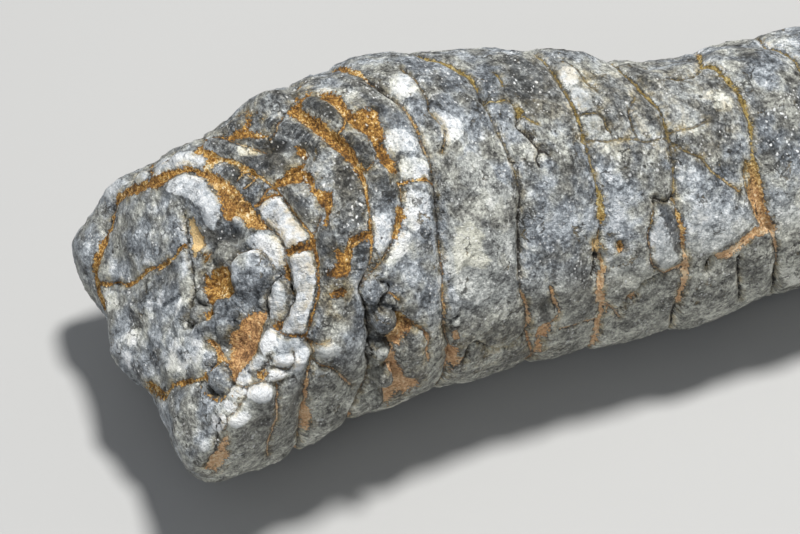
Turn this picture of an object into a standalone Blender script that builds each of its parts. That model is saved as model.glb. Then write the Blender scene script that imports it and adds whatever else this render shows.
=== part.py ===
"""Orthoceras fossil: one weathered piece of a chambered, straight shell turned to calcite.

Lengths are in metres, +Z is up. The long axis runs along X with the wide, broken end at -X.
The piece lies on its side on a small worn flat, and the origin is under the middle of its box.
"""
import math

import bmesh
import bpy
import numpy as np
from mathutils import Vector

MM = 0.001

# Driving dimensions of the shell.
LENGTH = 98.0 * MM
HALF_LENGTH = LENGTH / 2
CHAMBER_LENGTH = 7.4 * MM
FIRST_SUTURE = 5.8 * MM
SUTURE_DEPTH = 0.30 * MM
SUTURE_HALF_WIDTH = 0.7 * MM
CHAMBER_SWELL = 0.22 * MM

# How the taper lies: height of the axis over the ground at both ends.
AXIS_HEIGHT_WIDE = 16.10 * MM
AXIS_HEIGHT_NARROW = 10.85 * MM

# Along the piece: distance from the wide tip, radius, and how far the axis wanders sideways.
STATIONS_MM = (
    (0.0, 16.3, -2.7), (10.0, 16.1, -1.0), (20.0, 15.8, 0.8), (25.0, 15.6, 1.5),
    (30.0, 15.3, 1.8), (35.0, 14.7, 1.6), (40.0, 14.2, 1.2), (45.0, 13.5, 0.5),
    (50.0, 12.9, -0.3), (55.0, 12.6, -0.7), (60.0, 12.5, -0.6), (70.0, 12.1, -0.4),
    (80.0, 11.9, -0.7), (98.0, 11.3, -1.1),
)

# Flat breaks that cut the taper. Each is stated from a point inside, on the axis: how far
# that point is from the wide tip, how far the break is from the point, which way it faces.
BREAKS = {
    "oblique_top": (15.0 * MM, 9.1 * MM, (-0.450, -0.201, 0.870)),
    "front_shoulder": (15.0 * MM, 9.6 * MM, (-0.828, -0.103, 0.551)),
    "front_face": (15.0 * MM, 14.5 * MM, (-0.959, -0.191, -0.208)),
    "back_shoulder": (15.0 * MM, 12.5 * MM, (-0.430, 0.439, 0.789)),
    "narrow_end": (85.0 * MM, 11.5 * MM, (0.985, 0.085, 0.150)),
}

TURN_STEPS = 56
CUTTER_SIZE = 140.0 * MM
EDGE_MERGE = 0.05 * MM

BODY_COLOUR = (0.33, 0.33, 0.34, 1.0)
BODY_ROUGHNESS = 0.62


def clear_scene():
    for item in list(bpy.data.objects):
        bpy.data.objects.remove(item, do_unlink=True)


def new_collection(name):
    collection = bpy.data.collections.new(name)
    bpy.context.scene.collection.children.link(collection)
    return collection


def station_values(distance, column):
    """Radius (column 1) or sideways wander (column 2) at a distance from the wide tip."""
    table = np.array(STATIONS_MM) * MM
    return float(np.interp(distance, table[:, 0], table[:, column]))


def axis_point(distance):
    share = distance / LENGTH
    height = AXIS_HEIGHT_WIDE + (AXIS_HEIGHT_NARROW - AXIS_HEIGHT_WIDE) * share
    return Vector((distance - HALF_LENGTH, station_values(distance, 2), height))


def suture_distances():
    count = int((LENGTH - FIRST_SUTURE) / CHAMBER_LENGTH) + 1
    return [FIRST_SUTURE + CHAMBER_LENGTH * index for index in range(count)]


def profile_points():
    """Outline of one side of the shell, from the wide tip to the narrow one.

    Each chamber is four points: its shallow suture groove, the two lips beside the groove
    and the slight swell half-way to the next suture.
    """
    rows = [(0.0, station_values(0.0, 1))]
    for suture in suture_distances():
        radius = station_values(suture, 1)
        middle = suture + CHAMBER_LENGTH / 2
        rows.append((suture - SUTURE_HALF_WIDTH, station_values(suture - SUTURE_HALF_WIDTH, 1)))
        rows.append((suture, radius - SUTURE_DEPTH))
        rows.append((suture + SUTURE_HALF_WIDTH, station_values(suture + SUTURE_HALF_WIDTH, 1)))
        rows.append((middle, station_values(middle, 1) + CHAMBER_SWELL))
    rows = [row for row in rows if row[0] < LENGTH]
    rows.append((LENGTH, station_values(LENGTH, 1)))
    return rows


def turned_taper(collection):
    """The whole taper as a turned solid standing on Z, its wide end up."""
    rows = profile_points()
    points = [(0.0, 0.0, LENGTH)]
    points += [(radius, 0.0, LENGTH - distance) for distance, radius in rows]
    points.append((0.0, 0.0, 0.0))
    mesh = bpy.data.meshes.new("taper_profile")
    mesh.from_pydata(points, [(i, i + 1) for i in range(len(points) - 1)], [])
    profile = bpy.data.objects.new("taper_profile", mesh)
    collection.objects.link(profile)
    screw = profile.modifiers.new("turn", "SCREW")
    screw.steps = TURN_STEPS
    screw.render_steps = TURN_STEPS
    screw.use_merge_vertices = True
    screw.merge_threshold = EDGE_MERGE
    return profile


def laid_down(profile, name, collection):
    """Turn the taper on its side and carry each ring to its place on the wandering axis."""
    graph = bpy.context.evaluated_depsgraph_get()
    mesh = bpy.data.meshes.new_from_object(profile.evaluated_get(graph))
    mesh.name = name
    for vertex in mesh.vertices:
        distance = LENGTH - vertex.co.z
        centre = axis_point(min(max(distance, 0.0), LENGTH))
        vertex.co = centre + Vector((0.0, vertex.co.y, vertex.co.x))
    body = bmesh.new()
    body.from_mesh(mesh)
    bmesh.ops.remove_doubles(body, verts=body.verts, dist=EDGE_MERGE)
    bmesh.ops.recalc_face_normals(body, faces=body.faces)
    body.to_mesh(mesh)
    body.free()
    mesh.shade_smooth()
    mesh.set_sharp_from_angle(angle=math.radians(40))
    fossil = bpy.data.objects.new(name, mesh)
    collection.objects.link(fossil)
    bpy.data.objects.remove(profile, do_unlink=True)
    return fossil


def cutter_box(name, point, facing, collection):
    """A big box whose near face passes through point and looks back against facing."""
    bpy.ops.mesh.primitive_cube_add(size=CUTTER_SIZE)
    box = bpy.context.object
    box.name = name
    for owner in list(box.users_collection):
        owner.objects.unlink(box)
    collection.objects.link(box)
    box.rotation_mode = "QUATERNION"
    box.rotation_quaternion = facing.to_track_quat("Z", "Y")
    box.location = point + facing * (CUTTER_SIZE / 2)
    box.hide_render = True
    box.display_type = "WIRE"
    return box


def cut(fossil, cutter):
    modifier = fossil.modifiers.new("cut_" + cutter.name, "BOOLEAN")
    modifier.operation = "DIFFERENCE"
    modifier.solver = "EXACT"
    modifier.object = cutter
    cutter.parent = fossil


def calcite_material():
    material = bpy.data.materials.new("weathered_calcite")
    material.use_nodes = True
    shader = material.node_tree.nodes["Principled BSDF"]
    shader.inputs["Base Color"].default_value = BODY_COLOUR
    shader.inputs["Roughness"].default_value = BODY_ROUGHNESS
    shader.inputs["Metallic"].default_value = 0.0
    return material


def centre_over_origin(fossil):
    """Slide the piece along X and Y until the origin is under the middle of its box."""
    bpy.context.view_layer.update()
    graph = bpy.context.evaluated_depsgraph_get()
    mesh = fossil.evaluated_get(graph).to_mesh()
    corners = np.array([vertex.co[:] for vertex in mesh.vertices])
    middle = (corners.min(axis=0) + corners.max(axis=0)) / 2
    fossil.location = (-middle[0], -middle[1], -corners[:, 2].min())


def build():
    clear_scene()
    parts = new_collection("orthoceras_fossil")
    cutters = new_collection("cutters")

    fossil = laid_down(turned_taper(parts), "orthoceras_fossil", parts)
    fossil.data.materials.clear()
    fossil.data.materials.append(calcite_material())

    for name, (distance, reach, facing) in BREAKS.items():
        facing = Vector(facing).normalized()
        point = axis_point(distance) + facing * reach
        cut(fossil, cutter_box(name, point, facing, cutters))
    down = Vector((0.0, 0.0, -1.0))
    cut(fossil, cutter_box("resting_flat", Vector((0.0, 0.0, 0.0)), down, cutters))

    centre_over_origin(fossil)


build()
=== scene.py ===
# %% [markdown]
# # An orthoceras fossil in weathered calcite
#
# The real thing is one stone: a straight, tapered, chambered shell that turned to calcite and
# broke obliquely at its wide end. Clay fills the joints between its chambers. This lesson takes
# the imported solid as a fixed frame, lays a fine skin over it, carves the joints and lumps into
# that skin, and finishes it with one layered material. Lengths inside the lesson are in
# millimetres, because a stone of this size is easier to think about that way.

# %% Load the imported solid
import math

import bpy
import numpy as np
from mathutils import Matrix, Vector, noise
from mathutils.bvhtree import BVHTree
from mathutils.kdtree import KDTree


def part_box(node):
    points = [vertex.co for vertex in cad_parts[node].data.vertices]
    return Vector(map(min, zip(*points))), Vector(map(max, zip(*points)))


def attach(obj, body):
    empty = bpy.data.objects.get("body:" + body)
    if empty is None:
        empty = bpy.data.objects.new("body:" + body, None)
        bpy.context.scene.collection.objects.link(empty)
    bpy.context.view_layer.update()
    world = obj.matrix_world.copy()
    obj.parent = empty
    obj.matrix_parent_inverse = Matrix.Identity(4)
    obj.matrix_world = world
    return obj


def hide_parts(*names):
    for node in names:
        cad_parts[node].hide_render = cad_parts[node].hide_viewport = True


MM = 0.001
NODE = "orthoceras_fossil"
FULL_TURN = 2 * math.pi

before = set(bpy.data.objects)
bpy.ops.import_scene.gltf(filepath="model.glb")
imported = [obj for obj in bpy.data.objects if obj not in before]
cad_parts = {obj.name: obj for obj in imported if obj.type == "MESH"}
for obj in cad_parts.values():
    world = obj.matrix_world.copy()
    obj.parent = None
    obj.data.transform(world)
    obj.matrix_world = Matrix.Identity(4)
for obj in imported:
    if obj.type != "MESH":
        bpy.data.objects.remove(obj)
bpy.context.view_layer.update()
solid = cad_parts[NODE]
solid_low, solid_high = np.array(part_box(NODE)) / MM
print("solid, mm:", solid_low.round(1), solid_high.round(1))

# %% [markdown]
# ## The camera
#
# The camera comes first, because the joints below are placed by where they show in its view of
# 800 by 534. It looks down on the stone at about 49 degrees from the side of the broken end,
# through a long lens from about 0.2 m away, so the wide end looms a little over the far one.

# %% Place the camera
VIEW_SIZE = np.array([800, 534])
VIEW_AZIMUTH = math.radians(-18.4)
VIEW_ELEVATION = math.radians(49.0)
VIEW_DISTANCE = 206.0
VIEW_TARGET = np.array([-22.3, -4.23, 16.45])
LENS_MM = 105.0
SENSOR_MM = 36.0
FOCAL_PX = LENS_MM / SENSOR_MM * VIEW_SIZE[0]
PX_PER_MM = FOCAL_PX / VIEW_DISTANCE

view_back = np.array([
    math.sin(VIEW_AZIMUTH) * math.cos(VIEW_ELEVATION),
    -math.cos(VIEW_AZIMUTH) * math.cos(VIEW_ELEVATION),
    math.sin(VIEW_ELEVATION),
])
view_right = np.array([math.cos(VIEW_AZIMUTH), math.sin(VIEW_AZIMUTH), 0.0])
view_up = np.cross(view_back, view_right)
view_eye = VIEW_TARGET + view_back * VIEW_DISTANCE


def show(name, data):
    """Put a new object with the given data into the scene."""
    made = bpy.data.objects.new(name, data)
    bpy.context.scene.collection.objects.link(made)
    return made


def aim(thing, place, way):
    """Stand a camera or light at a place, in metres, and point it along a way."""
    thing.location = place
    thing.rotation_mode = "QUATERNION"
    thing.rotation_quaternion = way.to_track_quat("-Z", "Y")


camera_data = bpy.data.cameras.new("camera")
camera_data.lens = LENS_MM
camera_data.sensor_width = SENSOR_MM
camera_data.clip_start = 0.01
camera = show("camera", camera_data)
aim(camera, Vector(view_eye * MM), Vector(-view_back))
bpy.context.scene.camera = camera
print("camera at, mm:", view_eye.round(1), "scale:", round(PX_PER_MM, 2), "px per mm")


# %% Turn places in space into places in the view, and back
def to_view(points):
    """Places in the view of points given in mm."""
    offset = points - view_eye
    shown = np.stack([offset @ view_right, -(offset @ view_up)], axis=-1)
    return VIEW_SIZE / 2 + FOCAL_PX * shown / -(offset @ view_back)[..., None]


def view_ray(place):
    """Direction from the eye through one place in the view."""
    across, down = (np.array(place) - VIEW_SIZE / 2) / FOCAL_PX
    ray = -view_back + view_right * across - view_up * down
    return ray / np.linalg.norm(ray)


# %% [markdown]
# ## The skin
#
# A stone like this could be sculpted from a ball, remeshed from the solid, or wrapped in a
# grid. The grid is the choice here: its rows run round the stone and its columns along it, so
# quads stay neat, and rows can be dense where the stone shows most and loose where it doesn't.
# Each point is found by a ray from an axis inside the solid. At both ends the rays fan out, so
# the grid closes over the broken faces like the end of a capsule.

# %% Choose the rows and columns
AXIS_WIDE = np.array([solid_low[0] + 13.5, -0.3, 15.6])
AXIS_NARROW = np.array([solid_high[0] - 5.5, -0.4, 11.2])
AXIS_LENGTH = AXIS_NARROW[0] - AXIS_WIDE[0]
FINE_STEP = 0.30
LOOSE_STEP = 0.55
WIDE_CAP = 20.0
NARROW_CAP = 13.0
FINE_REACH = 65.0
SEEN_FROM = math.radians(28.0)
SEEN_TO = math.radians(232.0)
MEAN_RADIUS = 15.5


def stepped(start, stop, step):
    count = max(2, round((stop - start) / step) + 1)
    return np.linspace(start, stop, count)


row_stations = np.concatenate([
    stepped(-WIDE_CAP + FINE_STEP / 2, FINE_REACH, FINE_STEP),
    stepped(FINE_REACH, AXIS_LENGTH + NARROW_CAP - FINE_STEP, LOOSE_STEP)[1:],
])
column_angles = np.concatenate([
    stepped(SEEN_FROM, SEEN_TO, FINE_STEP / MEAN_RADIUS),
    stepped(SEEN_TO, SEEN_FROM + FULL_TURN, LOOSE_STEP / MEAN_RADIUS)[1:-1],
])
ROWS = len(row_stations)
COLUMNS = len(column_angles)
print("grid:", ROWS, "rows by", COLUMNS, "columns,", 2 * ROWS * COLUMNS, "triangles")


# %% Send the rays out to the solid
def axis_point(station):
    """The point at a distance along the axis, which ends at the middles of the two caps."""
    along = min(max(station, 0.0), AXIS_LENGTH) / AXIS_LENGTH
    return AXIS_WIDE + (AXIS_NARROW - AXIS_WIDE) * along


def ray_of(station, angle):
    """Start and direction of the ray of one grid point."""
    lean = 0.0
    if station < 0:
        lean = math.pi / 2 * (station / WIDE_CAP)
    if station > AXIS_LENGTH:
        lean = math.pi / 2 * (station - AXIS_LENGTH) / NARROW_CAP
    across = math.cos(lean)
    way = (math.sin(lean), across * math.cos(angle), across * math.sin(angle))
    return axis_point(station), way


corners = [solid.matrix_world @ vertex.co / MM for vertex in solid.data.vertices]
sides = [list(face.vertices) for face in solid.data.polygons]
solid_tree = BVHTree.FromPolygons(corners, sides)
starts = np.zeros((ROWS, COLUMNS, 3))
ways = np.zeros((ROWS, COLUMNS, 3))
reach = np.full((ROWS, COLUMNS), np.nan)
for row, station in enumerate(row_stations):
    for column, angle in enumerate(column_angles):
        start, way = ray_of(station, angle)
        starts[row, column] = start
        ways[row, column] = way
        hit = solid_tree.ray_cast(Vector(start), Vector(way))
        if hit[0]:
            reach[row, column] = hit[3]
print("rays that missed:", int(np.isnan(reach).sum()))


# %% [markdown]
# The solid has straight break edges and evenly turned grooves. A real break is worn round and
# real joints wander, so the reach of the rays is blurred along and around before any detail
# goes on. The blur is narrow at both ends, where the break keeps its corners.

# %% Blur the reach of the rays
END_BLUR = 0.75
SIDE_BLUR = 1.9
BLUR_CHANGE = 7.0
ANGLE_BLUR = 0.8 / MEAN_RADIUS


def blur_table(places, widths, period=None):
    """Rows of Gaussian weights, one row for each place."""
    gap = places[:, None] - places[None, :]
    if period:
        gap = (gap + period / 2) % period - period / 2
    table = np.exp(-0.5 * (gap / widths[:, None]) ** 2)
    table *= np.abs(np.gradient(places))[None, :]
    return table / table.sum(axis=1, keepdims=True)


from_wide = np.clip((row_stations + 1.0) / BLUR_CHANGE, 0, 1)
from_narrow = np.clip((AXIS_LENGTH + 1.0 - row_stations) / BLUR_CHANGE, 0, 1)
row_blur = END_BLUR + (SIDE_BLUR - END_BLUR) * np.minimum(from_wide, from_narrow)
reach = blur_table(row_stations, row_blur) @ reach
reach = reach @ blur_table(column_angles, np.full(COLUMNS, ANGLE_BLUR), FULL_TURN).T
skin = starts + ways * reach[..., None]
print("skin, mm:", skin.min(axis=(0, 1)).round(1), skin.max(axis=(0, 1)).round(1))


# %% Join the grid points into one closed skin
def grid_faces():
    """Quads between rows and a fan of triangles at each pole."""
    index = np.arange(ROWS * COLUMNS).reshape(ROWS, COLUMNS)
    right = np.roll(index, -1, axis=1)
    quads = np.stack([index[:-1], right[:-1], right[1:], index[1:]], axis=-1)
    wide_pole = ROWS * COLUMNS
    narrow_pole = wide_pole + 1
    faces = quads.reshape(-1, 4).tolist()
    faces += [[wide_pole, int(b), int(a)] for a, b in zip(index[0], right[0])]
    faces += [[narrow_pole, int(a), int(b)] for a, b in zip(index[-1], right[-1])]
    return faces


def grid_normals(grid):
    along = np.gradient(grid, axis=0)
    around = np.roll(grid, -1, axis=1) - np.roll(grid, 1, axis=1)
    normals = np.cross(around, along)
    normals /= np.linalg.norm(normals, axis=-1, keepdims=True) + 1e-12
    outward = np.sign((normals * ways).sum(axis=-1).mean())
    return normals * outward


faces = grid_faces()
print("faces:", len(faces))

# %% [markdown]
# ## The outline
#
# The broken end is lumpy, and so is its outline. The points below are where the edge of the
# stone shows in the view. The skin is pushed or pulled until its edge passes through them, and
# each push fades out over a few millimetres.

# %% Fit the skin to the outline
OUTLINE = (
    (210, 483), (195, 477), (184, 460), (172, 445), (165, 430), (161, 416), (160, 404), (152, 398),
    (135, 387), (121, 371), (113, 350), (105, 327), (101, 312), (97, 300), (85, 289), (75, 275),
    (70, 258), (72, 243), (76, 229), (92, 214), (100, 204), (102, 192), (109, 180), (128, 172),
    (150, 162), (168, 150), (185, 140), (207, 131), (230, 118), (246, 104), (256, 96), (273, 89),
    (300, 82), (312, 74), (330, 64), (349, 56), (380, 54), (408, 54), (415, 50), (450, 48),
    (500, 50), (540, 49), (566, 50), (582, 53), (600, 59), (640, 62), (672, 58), (700, 50),
    (740, 41), (765, 33), (800, 27), (830, 20),
)
LOWER_OUTLINE = (
    (830, 280), (800, 289), (770, 297), (730, 314), (700, 323), (670, 331), (625, 342), (590, 348),
    (550, 356), (510, 367), (470, 380), (440, 387), (415, 396), (395, 405), (370, 412), (345, 425),
    (320, 441), (297, 450), (275, 461), (252, 470), (230, 477), (210, 483),
)
OUTLINE_ROUNDS = 4
OUTLINE_SPREAD = 2.6
OUTLINE_LIMIT = 1.6
TANGENT_WINDOW = 9.0


def push_to_outline(grid, outline):
    """One round: measure how far the skin's edge is from each point, then push it there."""
    marks = np.array(outline, dtype=float)
    shown = to_view(grid).reshape(-1, 2)
    flat = grid.reshape(-1, 3)
    tangents = np.gradient(marks, axis=0)
    tangents /= np.linalg.norm(tangents, axis=1, keepdims=True)
    outward = np.stack([tangents[:, 1], -tangents[:, 0]], axis=1)
    total = np.zeros(len(flat))
    shift = np.zeros((len(flat), 3))
    worst = 0.0
    for mark, tangent, normal in zip(marks, tangents, outward):
        offset = shown - mark
        near = np.abs(offset @ tangent) < TANGENT_WINDOW
        out = np.where(near, offset @ normal, -np.inf)
        if not near.any():
            continue
        edge = int(out.argmax())
        move = np.clip(-out[edge] / PX_PER_MM, -OUTLINE_LIMIT, OUTLINE_LIMIT)
        worst = max(worst, abs(out[edge]))
        way = view_right * normal[0] - view_up * normal[1]
        distance = np.linalg.norm(flat - flat[edge], axis=1)
        weight = np.exp(-0.5 * (distance / OUTLINE_SPREAD) ** 2)
        total += weight
        shift += weight[:, None] * way * move
    flat = flat + shift / np.maximum(total, 1.0)[:, None]
    return flat.reshape(grid.shape), worst


for turn in range(OUTLINE_ROUNDS):
    skin, worst_upper = push_to_outline(skin, OUTLINE)
    skin, worst_lower = push_to_outline(skin, LOWER_OUTLINE)
    print("outline round", turn, "worst", round(worst_upper, 1), round(worst_lower, 1), "px")

# %% [markdown]
# ## Where the joints run
#
# The chambers of the shell meet at septa, thin walls whose edges show as rings round the stone.
# Clay has filled them. Each ring below is given where it shows in the view, then pinned to the
# skin, and where it is out of sight it is carried on round the back. The third number at each
# place is the half width of the clay there, in millimetres. Below zero, the joint is open and
# dark there instead, and the number is the half width of the gap.

# %% The rings between the chambers: groove depth, then places in the view with their clay
RINGS = {
    "ring_a": (0.45, ((203, 134, 0.12), (199, 145, 0.2), (207, 155, 0.24), (219, 158, 0.16),
        (232, 161, 0.18), (245, 167, 0.16), (256, 174, 0.16), (266, 181, 0.16), (277, 191, 0.1),
        (287, 204, 0.08), (297, 217, 0.08), (306, 229, 0.14), (311, 241, 0.18), (315, 255, 0.14),
        (317, 272, 0.12), (318, 288, 0.12), (316, 300, 0.12), (312, 313, 0.12), (309, 325, 0.1),
        (307, 337, 0.1), (312, 345, 0.02), (316, 353, 0.02), (314, 363, 0.06), (311, 376, 0.1),
        (309, 390, 0.12), (308, 405, 0.1), (305, 420, 0.06), (301, 436, 0.02), (298, 449, 0.02))),
    "ring_b": (0.45, ((298, 84, 0.2), (296, 97, 0.25), (292, 108, 0.35), (304, 116, 0.42),
        (320, 127, 0.42), (335, 137, 0.38), (346, 149, 0.3), (356, 163, 0.22), (362, 177, 0.14),
        (366, 194, 0.11), (369, 210, 0.11), (371, 229, 0.12), (372, 248, 0.1), (371, 264, 0.03),
        (366, 276, 0.0), (363, 290, -0.02), (366, 300, -0.02), (370, 314, -0.02), (372, 330, -0.02),
        (373, 350, -0.02), (372, 368, 0.0), (369, 384, 0.0), (361, 398, 0.0), (352, 414, 0.0))),
    "ring_c": (0.42, ((330, 66, 0.16), (346, 67, 0.3), (358, 72, 0.3), (369, 79, 0.1),
        (386, 86, -0.08), (401, 100, 0.03), (414, 120, 0.08), (422, 139, 0.06), (431, 160, 0.04),
        (435, 180, -0.03), (438, 205, -0.04), (440, 233, -0.02), (443, 258, 0.06), (444, 283, 0.07),
        (445, 315, 0.08), (447, 334, 0.05), (452, 357, 0.04), (447, 372, 0.04), (440, 386, 0.04))),
    "ring_d": (0.45, ((411, 53, 0.18), (431, 58, 0.18), (452, 65, 0.18), (468, 74, 0.16),
        (477, 86, 0.12), (482, 96, -0.06), (487, 105, 0.02), (498, 127, 0.04), (509, 150, 0.04),
        (516, 169, 0.02), (522, 195, -0.02), (521, 215, -0.06), (521, 227, -0.07),
        (523, 250, -0.07), (522, 272, -0.05), (522, 289, 0.05), (527, 306, 0.14), (529, 320, 0.16),
        (528, 334, 0.12), (531, 348, 0.12), (533, 359, 0.08))),
    "ring_e": (0.42, ((534, 50, 0.09), (540, 56, 0.09), (551, 67, 0.09), (564, 86, 0.09),
        (573, 102, 0.1), (579, 118, 0.12), (586, 138, 0.1), (593, 163, 0.07), (599, 187, 0.1),
        (601, 195, 0.22), (602, 206, 0.26), (602, 218, 0.24), (602, 226, 0.08), (601, 233, 0.02),
        (600, 240, 0.1), (600, 250, 0.14), (603, 258, 0.05), (604, 265, 0.18), (603, 276, 0.22),
        (601, 285, 0.2), (600, 292, 0.28), (601, 300, 0.32), (603, 308, 0.2), (603, 318, 0.15),
        (600, 326, 0.2), (597, 335, 0.2), (593, 345, 0.18))),
    "ring_f": (0.4, ((612, 60, 0.1), (627, 71, 0.09), (642, 86, 0.1), (658, 105, 0.1),
        (667, 125, 0.09), (672, 144, 0.07), (675, 168, 0.06), (676, 193, 0.08), (677, 206, 0.05),
        (681, 222, 0.22), (684, 240, 0.18), (685, 252, 0.08), (687, 262, 0.24), (686, 276, 0.22),
        (683, 290, 0.16), (679, 304, 0.16), (677, 311, -0.06), (674, 322, -0.08),
        (671, 335, -0.04))),
    "ring_g": (0.55, ((698, 52, 0.16), (701, 62, 0.2), (713, 66, 0.22), (729, 79, 0.2),
        (741, 94, 0.18), (747, 110, 0.18), (752, 128, 0.14), (754, 150, 0.12), (756, 168, 0.22),
        (760, 193, 0.28), (766, 218, 0.32), (773, 231, 0.26), (777, 243, 0.12), (779, 262, 0.07),
        (778, 284, -0.1), (776, 295, -0.08))),
    "ring_h": (0.35, ((757, 35, 0.08), (766, 43, 0.08), (785, 49, 0.1), (800, 66, 0.1),
        (810, 88, 0.1), (817, 120, 0.08), (820, 160, 0.08), (826, 195, 0.1), (833, 230, 0.08),
        (835, 260, 0.06), (832, 279, 0.06))),
}

# %% [markdown]
# Past the last ring that shows, the chambers go on at the same spacing, so the rings there are
# copies of the last one moved along by a chamber each. The two ends of a ring are joined
# round the hidden side with a small wander of their own.

# %% Pin marks to the skin
PIN_STEP = 0.14

poles = np.stack([skin[0].mean(axis=0), skin[-1].mean(axis=0)])
base_points = np.concatenate([skin.reshape(-1, 3), poles])
base_normals = np.concatenate([grid_normals(skin).reshape(-1, 3), [[-1, 0, 0], [1, 0, 0]]])
base_tree = BVHTree.FromPolygons([Vector(point) for point in base_points], faces)
base_view = to_view(base_points)
facing = ((view_eye - base_points) * base_normals).sum(axis=1) / VIEW_DISTANCE
seen = np.flatnonzero(facing > 0)


def pin(place):
    """The point of the skin that shows at a place in the view, or the nearest one that does."""
    hit = base_tree.ray_cast(Vector(view_eye), Vector(view_ray(place)))
    if hit[0]:
        return np.array(hit[0])
    offset = base_view[seen] - np.array(place)
    return base_points[seen[int((offset ** 2).sum(axis=1).argmin())]]


def smooth_line(points):
    """A Catmull-Rom curve through the points, cut into equal steps."""
    points = np.asarray(points, dtype=float)
    ends = np.concatenate([[2 * points[0] - points[1]], points, [2 * points[-1] - points[-2]]])
    pieces = []
    for a, b, c, d in zip(ends[:-3], ends[1:-2], ends[2:-1], ends[3:]):
        count = max(2, int(np.linalg.norm((c - b)[:3]) / PIN_STEP) + 1)
        t = np.linspace(0, 1, count, endpoint=False)[:, None]
        pieces.append(0.5 * (2 * b + (c - a) * t + (2 * a - 5 * b + 4 * c - d) * t ** 2
                             + (3 * b - a - 3 * c + d) * t ** 3))
    return np.concatenate(pieces + [points[-1:]])


def with_clay(points, clay):
    return np.column_stack([points, np.full(len(points), clay)])


# %% Carry the rings on round the back and on to the far end
CHAMBER = 7.4
HIDDEN_CLAY = 0.10
HIDDEN_STEPS = 40
HIDDEN_WANDER = 0.45
FAR_WANDER = 0.8
FAR_GROOVE = 0.40


def round_angle(point):
    centre = axis_point(point[0] - AXIS_WIDE[0])
    return math.atan2(point[2] - centre[2], point[1] - centre[1])


def on_side(x, angle):
    """The point of the skin at a distance along the axis and an angle round it, in a list."""
    centre = axis_point(x - AXIS_WIDE[0])
    way = Vector((0.0, math.cos(angle), math.sin(angle)))
    hit = base_tree.ray_cast(Vector((x, centre[1], centre[2])), way)
    return [np.array(hit[0])] if hit[0] else []


def hidden_arc(last, first, seed):
    """Points from the end of a ring to its start, round the side that doesn't show."""
    start = round_angle(last) % FULL_TURN
    stop = round_angle(first) % FULL_TURN
    if stop < start:
        stop += FULL_TURN
    arc = []
    for share in np.linspace(0, 1, HIDDEN_STEPS)[1:-1]:
        drift = noise.noise(Vector((share * 5.0, seed, 0.0))) * HIDDEN_WANDER
        drift *= math.sin(math.pi * share) ** 0.5
        x = last[0] + (first[0] - last[0]) * share + drift
        arc += on_side(x, start + (stop - start) * share)
    return arc


rings = {}
for number, (name, (groove, marks)) in enumerate(RINGS.items()):
    points = [pin(mark[:2]) for mark in marks]
    hidden = hidden_arc(points[-1], points[0], number)
    clay = [mark[2] for mark in marks] + [HIDDEN_CLAY] * len(hidden)
    rings[name] = (groove, smooth_line(np.column_stack([points + hidden, clay])))
for extra in (2, 3, 4):
    moved = []
    for point in rings["ring_g"][1][::12, :3]:
        drift = noise.noise(Vector(point * 0.16) + Vector((extra * 7.0, 0, 0))) * FAR_WANDER
        moved += on_side(point[0] + CHAMBER * extra + drift, round_angle(point))
    if len(moved) > 8:
        line = smooth_line(with_clay(moved + moved[:1], HIDDEN_CLAY))
        rings["ring_" + "ghijkl"[extra]] = (FAR_GROOVE, line)
print("rings:", ", ".join(rings))

# %% [markdown]
# ## Smaller joints and cracks
#
# The broken end shows the shell cut across: blocks of calcite with clay between them. On the
# side there are short cracks inside single chambers. A line has the half width of its clay and
# the depth of its groove. A half width below zero is that of an open, dark crack.

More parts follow.
